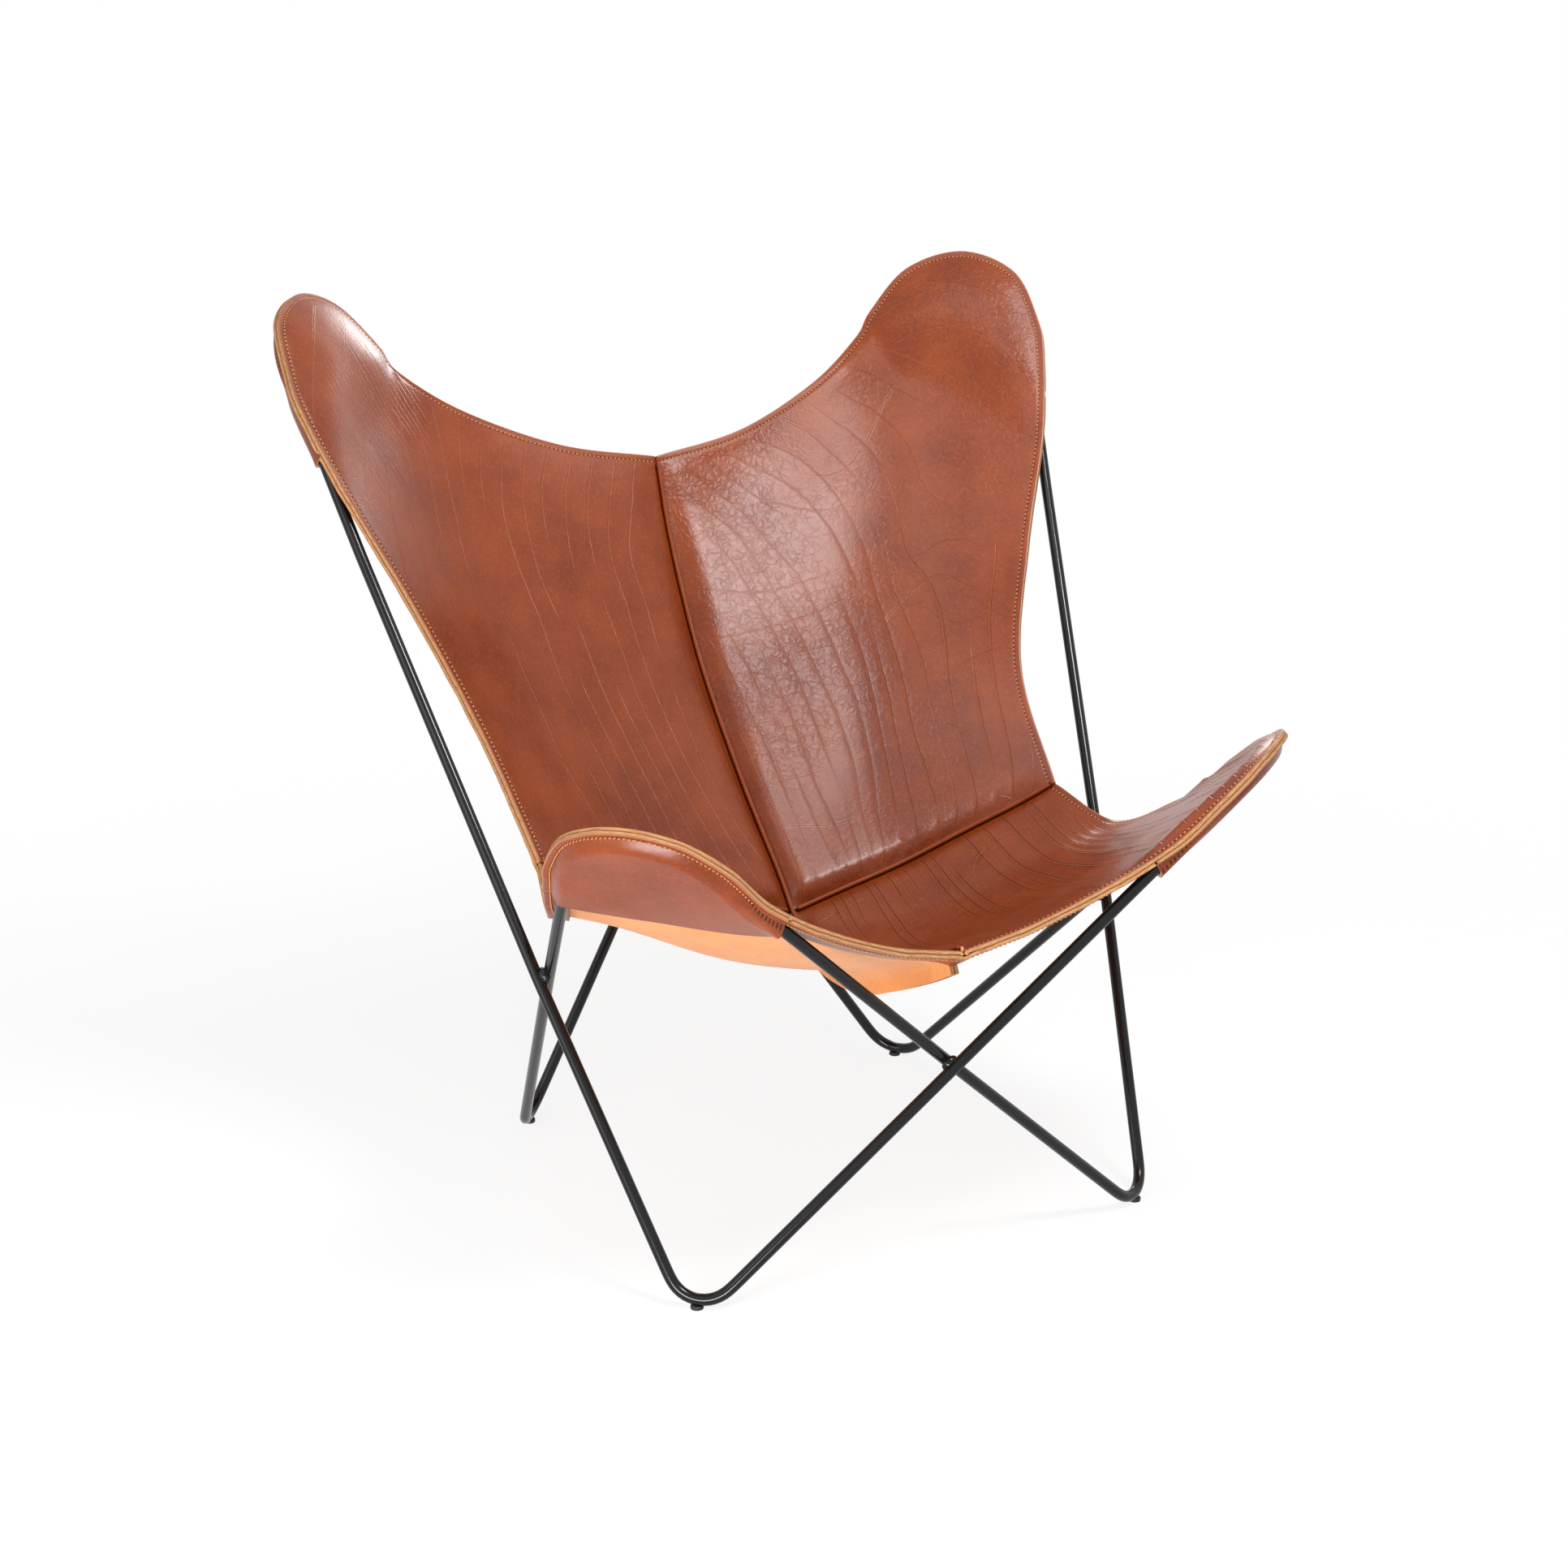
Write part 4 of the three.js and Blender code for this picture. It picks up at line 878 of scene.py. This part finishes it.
def creases(q, x, y, u, edge, points):
    """Heights of the growth lines and of the puffs between them beside the cross seam, and the
    fields that the grain is drawn from. A line stands where the distance from the chair's
    middle, plus its lean, its bend, its fan and a random bow, is a whole number of spacings."""
    spacing, lean, bend, fan, plain, seed = growth[q.kind, q.side]
    tall, tall_right = q.kind == "tall", q.kind == "tall" and q.side > 0
    field = lambda wide, long, k: random_field(x / wide, y / long, seed + k)
    out = q.side * points[..., 0]
    on = points[..., 2] - seam_cross[2] if tall else seam_cross[1] - points[..., 1]
    line = (out + lean * on + (bend * on ** 2 + fan * out * on) / 100) / spacing
    line = line + 0.5 * field(80, 170, 0) + 0.12 * field(30, 70, 1)
    pitch, off = pitch_of(line, points), line - np.round(line)
    strength = plain * eased(random_field(np.round(line), y / 110, seed + 2), -0.8, 0.5)
    strength = strength * (1 - 0.4 * eased(y, 260, 450) * tall_right)
    ridge = np.exp(-(off * pitch / ridge_width) ** 2)
    puff = (1 - (1 - 2 * np.abs(off)) ** 3) * np.exp(-y / puff_reach)
    margin = eased(edge, 9, 22) * eased(x, 6, 22) * eased(y, 3, 12)
    swell = 1.5 * field(75, 110, 4)
    height = margin * (ridge_height * ridge * strength
                       + min(plain, 1) * (puff_height * puff * tall + swell_height * swell))
    cross = (y + 0.2 * x) / cross_spacing + 0.7 * field(90, 90, 5)
    cross_strength = 0.5 * plain * eased(random_field(x / 60, np.round(cross) + 9, seed + 6), -0.3, 0.7)
    if tall and q.side < 0:               # fine wrinkles where this wing's shoulder is drawn back
        cross = (0.44 * on - 0.9 * out) / wrinkle_spacing + 0.35 * random_field(out / 25, on / 40, seed + 5)
        cross_strength = 1.2 * np.exp(-((out - 330) / 50) ** 2 - ((on - 515) / 62) ** 2)
        cross_strength = cross_strength * eased(random_field(np.round(cross), on / 30, seed + 6), -0.9, 0.6)
    patches = 0.5 + 0.5 * field(60, 70, 7)
    beside_seam = np.exp(-((x - 70) / 62) ** 2) * eased(y, 110, 260)
    outer_side = eased(u, 0.62, 0.82) * eased(y, 300, 400)
    loose = 0.12 + 0.4 * patches + tall_right * (0.75 * beside_seam + 0.6 * outer_side)
    loose = np.clip(plain * loose, 0.04, 1) * eased(edge, 6, 14) * (1 if tall else 0.3)
    return height, {"long_line": line, "cross_line": cross, "long_pitch": pitch,
                    "cross_pitch": pitch_of(cross, points), "long_strength": strength * margin,
                    "cross_strength": cross_strength * margin, "loose_grain": loose}


hand = {-1: "left", 1: "right"}
panel_cut = {"tall": ((0.52, 0.66), 0.264), "low": ((0.44, 0.56), 0.164)}     # flat width, length, area
panels = {}
for (kind, side), q in quarters.items():
    tall = kind == "tall"
    u, drop_u, shift_u, depth_u = (a[:, None] for a in seam_rows(q.width))
    v, drop_v, shift_v, depth_v = (a[None] for a in seam_rows(q.length))
    x, y = np.broadcast_arrays(u * q.width, v * q.length)
    face, down, edge, place = q.face(u, v)
    (cross_down, in_y), centre_down = cross_frame(side, u), seam_down(kind, v)
    in_x, in_y = np.array([side, 0, 0]), in_y * (1 if tall else -1)
    gap_u, gap_v = (1 - eased(d, 0, seam_gap_reach)[..., None] for d in (u * q.width, v * q.length))
    face = over_rods(q, face + (in_x * gap_u + in_y * gap_v) * clearance / 2, down, edge, u, v)
    folded = face + centre_down * drop_u[..., None] + cross_down * drop_v[..., None]
    thick = (depth_u * depth_v / leather)[..., None]
    lower = folded + in_x * shift_u[..., None] + in_y * shift_v[..., None]
    lower = lower + down * (thick + waver(place, edge)[..., None])
    height, fields = creases(q, x, y, u + 0 * v, edge, face)
    upper = folded - down * (height - outer_margin(edge))[..., None]
    i, j = np.ogrid[:u.size - 1, :v.size - 1]
    hang = len(hang_rows)
    present = ((i >= hang) | ((j >= hang) & (y[:-1, :-1] < q.length - flange_stop))) & (
        (j >= hang) | ((x[:-1, :-1] > flange_start) & (x[:-1, :-1] < q.width - flange_stop)))
    label = "back" if tall else "seat"
    piece = leather_sheet(f"{label}_panel_leather_{hand[side]}", f"{label}_panel_{hand[side]}", upper, lower,
                          laid_flat(folded, (0.7 * side + 3, 1.3 * tall)),
                          {**fields, "edge_mm": edge, "along_mm": place}, present)
    panels[kind, side] = piece, upper, -down, edge


# Pockets. A second piece of hide is sewn, grain side out, to the flesh side of each wing along
# its edge, and holds the wing on the rod tip. Its mouth is cut in a shallow bow and left raw.
pocket_bow = 0.35
pocket_slack = 14                     # from the stitches the pocket bows out over the rod
pocket_rows, pocket_columns, pocket_tip, pocket_crowding = 70, 110, 0.985, 0.09
pocket_looseness, band_looseness = 0.06, 0.2      # how much of the loose grain each shows

for (kind, side), q in quarters.items():
    tall = kind == "tall"
    s, t = np.linspace(0, pocket_tip, pocket_rows)[:, None], np.linspace(0, 1, pocket_columns)[None]
    t = t - pocket_crowding * np.sin(2 * pi * t)      # closer columns at both cut edges
    reach = (1 - s) * (1 + pocket_bow * 4 * t * (1 - t))
    u, v = 1 - t * (1 - q.mouth_u) * reach, 1 - (1 - t) * (1 - q.mouth_v) * reach
    face, down, edge, place = q.face(u, v)
    wing = q.wing
    depth = wing["mouth_depth"] + (wing["depth"] - wing["mouth_depth"]) * np.minimum(2 * s, 1)
    depth = depth + q.puff(u, v, edge)
    bow = 1 - (1 - np.clip((edge - stitch_inset) / pocket_slack, 0, 1)) ** 2
    inner = face + down * (leather + clearance + waver(place, edge) + depth * bow)[..., None]
    inner = inner + down * room_for_rods(inner, down, 4)
    outer = inner + down * (leather - outer_margin(edge))[..., None]
    name = f"{'back' if tall else 'front'}_pocket_{hand[side]}"
    piece = leather_sheet(f"{name}_leather", name, outer, inner, laid_flat(outer, (5 + side, 4 + tall)),
                          {"loose_grain": 0 * edge + pocket_looseness, "edge_mm": edge, "along_mm": place})


# Edge bands. Between the pockets a strip of hide is sewn under the edge, grain side out, which
# makes the edge two layers thick. Each strip runs on across the seam to the next pocket.
band_rows = np.array([0, 0.5, 1.4, 3, 4.6, 5.8, 6.4, 7, 7.6, 8.2, 9.4, 12, 16, 20, 24, 26.6, 27.6,
                      band_width])
band_columns, band_stop = 100, 0.012
band_lift, band_lift_reach = 1.7, 7   # where a strip runs over the folded borders at a seam
for name, keys, at_end, length in [("edge_band_back", [("tall", -1), ("tall", 1)], True, 0.62),
                                   ("edge_band_front", [("low", -1), ("low", 1)], True, 0.42),
                                   ("edge_band_left", [("tall", -1), ("low", -1)], False, 0.69),
                                   ("edge_band_right", [("tall", 1), ("low", 1)], False, 0.7)]:
    halves = []
    for key in keys:
        q = quarters[key]
        run = np.linspace(0, (q.mouth_u if at_end else q.mouth_v) - band_stop, band_columns)[:, None]
        across = 1 - band_rows[None] / (q.length if at_end else q.width)
        u, v = np.broadcast_arrays(*((run, across) if at_end else (across, run)))
        face, down, edge, place = q.face(u, v)
        face = over_rods(q, face, down, edge, u, v)
        over_fold = band_lift * np.exp(-(run * (q.width if at_end else q.length) / band_lift_reach) ** 2)
        inner = face + down * (leather + clearance + over_fold + waver(place, edge))[..., None]
        outer = inner + down * (leather - outer_margin(edge))[..., None]
        halves.append((outer, inner, edge, place))
    outer, inner, edge, place = (np.concatenate([a[:0:-1], (a[:1] + b[:1]) / 2, b[1:]])
                                 for a, b in zip(*halves))
    piece = leather_sheet(f"{name}_leather", name, outer, inner, laid_flat(outer, (9 + 10 * length, 2)),
                          {"loose_grain": 0 * edge + band_looseness, "edge_mm": edge, "along_mm": place})


# Piping. A cord wrapped in a thin strip of the same hide stands in the valley of each seam. The
# strip's tail is caught between the folded borders, and each end is trimmed short of the edge.
piping_radius, piping_lift, piping_end = 2.4, 4, 6
piping_meets, piping_beside = 2, 6.2  # how far from the crossing the centre and cross cords start
piping_sides, piping_tail, piping_pinch = 20, 3.4, 0.75


def piping(node, path, up):
    """A drop-shaped profile, a circle that narrows to a tail, carried along the seam. At both
    ends it shrinks as a ball does."""
    turn, drop = np.linspace(0, 2 * pi, piping_sides, endpoint=False), circle(piping_radius, piping_sides)
    tail = np.where(turn > pi, np.sin(turn) ** 4, 0)
    drop = np.stack([drop[:, 0] * (1 - piping_pinch * tail), drop[:, 1] - piping_tail * tail], -1)
    run = np.concatenate([[0], np.cumsum(np.linalg.norm(np.diff(path, axis=0), axis=1))])
    from_end = np.minimum(run, run[-1] - run)
    size = np.sqrt(np.clip(1 - (1 - np.minimum(from_end / piping_radius, 1)) ** 2, 0.02, 1))
    wrinkle = 1 + 0.03 * random_field(run / 6, 0 * run, 31)
    ring = carried(path, drop[None] * (size * wrinkle)[:, None, None], up)
    put(f"{node}_cord", ring, ring_faces(len(path), piping_sides), [piped], node=node)


# The strip is pared thin and pulled tight, so it is smoother and glossier than the panels.
piped = even_finish("thin cognac leather over piping cord", ("#722d10", "#8f431b"), tone=(30, 3.0),
                    relief=(1.5, 2.0), bump=(0.5, 0.2), roughness=0.45, specular=0.2)

tall_share = np.linspace(1 - piping_end / seam["tall"][1], piping_meets / seam["tall"][1], 220)
low_share = np.linspace(piping_meets / seam["low"][1], 1 - piping_end / seam["low"][1], 170)
down = np.vstack([seam_down("tall", tall_share), seam_down("low", low_share)])
path = np.vstack([seam["tall"][0](tall_share), seam["low"][0](low_share)]) - down * piping_lift
for _ in range(6):                    # the cord turns the corner over the crossing in a small bend
    path[1:-1] = (path[:-2] + 2 * path[1:-1] + path[2:]) / 4
piping("piping_centre", path, -down)
for side, (read, length) in cross_seam.items():
    share = np.linspace(piping_beside / length, 1 - piping_end / length, 170)
    down = cross_frame(side, share)[0]
    piping(f"piping_cross_{hand[side]}", read(share) - down * piping_lift, -down)


# Piping ends. Where the piping meets the front and the sides, its bare end is rolled up once
# and caught by the last stitches, so a small curl of undyed hide sits on the edge.
curl_radius, curl_strip, curl_rows, curl_sides = 2.1, 1.1, 44, 14
curl_from, curl_to, curl_tighter, curl_aside, curl_wrinkle = -0.6, 1.25, 0.12, 0.7, 0.12
curl_inset, curl_lift, curl_flat, curl_wrinkles = 3.5, 0.6, 1.4, 5
for name, (read, length), down in [
        ("front", seam["low"], seam_down("low", np.array(1.0))),
        ("left", cross_seam[-1], cross_frame(-1, np.array([1.0]))[0][0]),
        ("right", cross_seam[1], cross_frame(1, np.array([1.0]))[0][0])]:
    end, ahead = read(np.array(1 - curl_inset / length)), unit(read(np.array(1.0)) - read(np.array(0.98)))
    turn = np.linspace(curl_from * pi, curl_to * pi, curl_rows)[:, None]
    wound = curl_radius * (1 - curl_tighter * turn / pi)
    path = (end - down * (curl_strip + curl_lift) + wound * (np.cos(turn) * ahead - np.sin(turn) * down)
            + np.cross(ahead, down) * turn * curl_aside)
    strip = circle(1, curl_sides)[None] * (curl_strip, curl_flat * curl_strip)
    ring = carried(path, strip * (1 + curl_wrinkle * np.sin(curl_wrinkles * turn))[..., None],
                   np.broadcast_to(np.cross(ahead, down), path.shape))
    curl = put(f"piping_end_{name}", ring, ring_faces(curl_rows, curl_sides),
               [flesh if name == "front" else piped])
    curl.data.uv_layers.new(name="cut")


# Stitching. Waxed linen thread, tan gone brown with handling, lies in a shallow groove round
# the whole edge. Each stitch slants a little and dives into a needle hole at both ends.
stitch_length, thread_radius, thread_end, stitch_slant = 4.0, 0.85, 0.35, 0.25
stitch_arch, stitch_sink, stitch_rows, stitch_sides = 1.0, 0.75, 6, 6
thread = even_finish("waxed tan linen thread", ("#955526", "#cd8c50"), tone=(0.8, 2.0), relief=(0.8, 2.0),
                     bump=(0.6, 0.15), roughness=0.5)     # the twist of its strands shows


def stitches(name, places, ahead, up):
    """Short arched threads. A point of one lies at its middle, plus its length times the share
    along it less a half, plus a half-sine arch upwards, plus a circle that narrows to the ends."""
    share = np.linspace(0, 1, stitch_rows)[None, :, None, None]
    turn = np.arange(stitch_sides)[None, None, :, None] * 2 * pi / stitch_sides
    side = np.cross(ahead, up)
    ahead, up, side, places = (a[:, None, None] for a in (ahead, up, side, places))
    thick = thread_radius * (thread_end + (1 - thread_end) * np.sin(pi * share))
    points = (places + ahead * stitch_length * (share - 0.5)
              + up * (stitch_arch * np.sin(pi * share) - stitch_sink)
              + thick * (np.cos(turn) * side + np.sin(turn) * up))
    one = ring_faces(stitch_rows, stitch_sides)
    faces = [[n + stitch_rows * stitch_sides * k for n in face] for k in range(len(points)) for face in one]
    return put(name, points, faces, [thread], sharp=80)


for (kind, side), q in quarters.items():
    label = f"{'back' if kind == 'tall' else 'seat'}_{hand[side]}"
    piece, upper, up, edge = panels[kind, side]
    run = np.arange(stitch_pitch, q.rim_run[-1] - stitch_pitch / 2, stitch_pitch)
    read = lambda s: np.stack([np.interp(s, q.rim_run, q.rim[:, k]) for k in range(3)], -1)
    rim, ahead = read(run), unit(read(run + 2) - read(run - 2))
    close = (edge > 3) & (edge < 12)      # the strip of the panel that the stitches lie in
    surface, surface_up = upper[close], up[close]
    normal = surface_up[nearest(rim, surface)[1]]
    inward = np.cross(unit(normal - dot(normal, ahead) * ahead), ahead)
    inward *= np.sign(dot(inward, q.base(np.array(0.6), np.array(0.6)) - rim))
    place = rim + inward * stitch_inset
    at = nearest(place, surface)[1]
    normal = surface_up[at]
    place = place + normal * dot(surface[at] - place, normal)
    slanted = unit(ahead + inward * stitch_slant)
    slanted = unit(slanted - dot(slanted, normal) * normal)
    top = stitches(f"stitching_{label}", place, slanted, normal)
    under = place - normal * (2 * leather + clearance + 0.1)
    below = stitches(f"stitching_{label}_under", under, slanted, -normal)
    flat, area = panel_cut[kind]
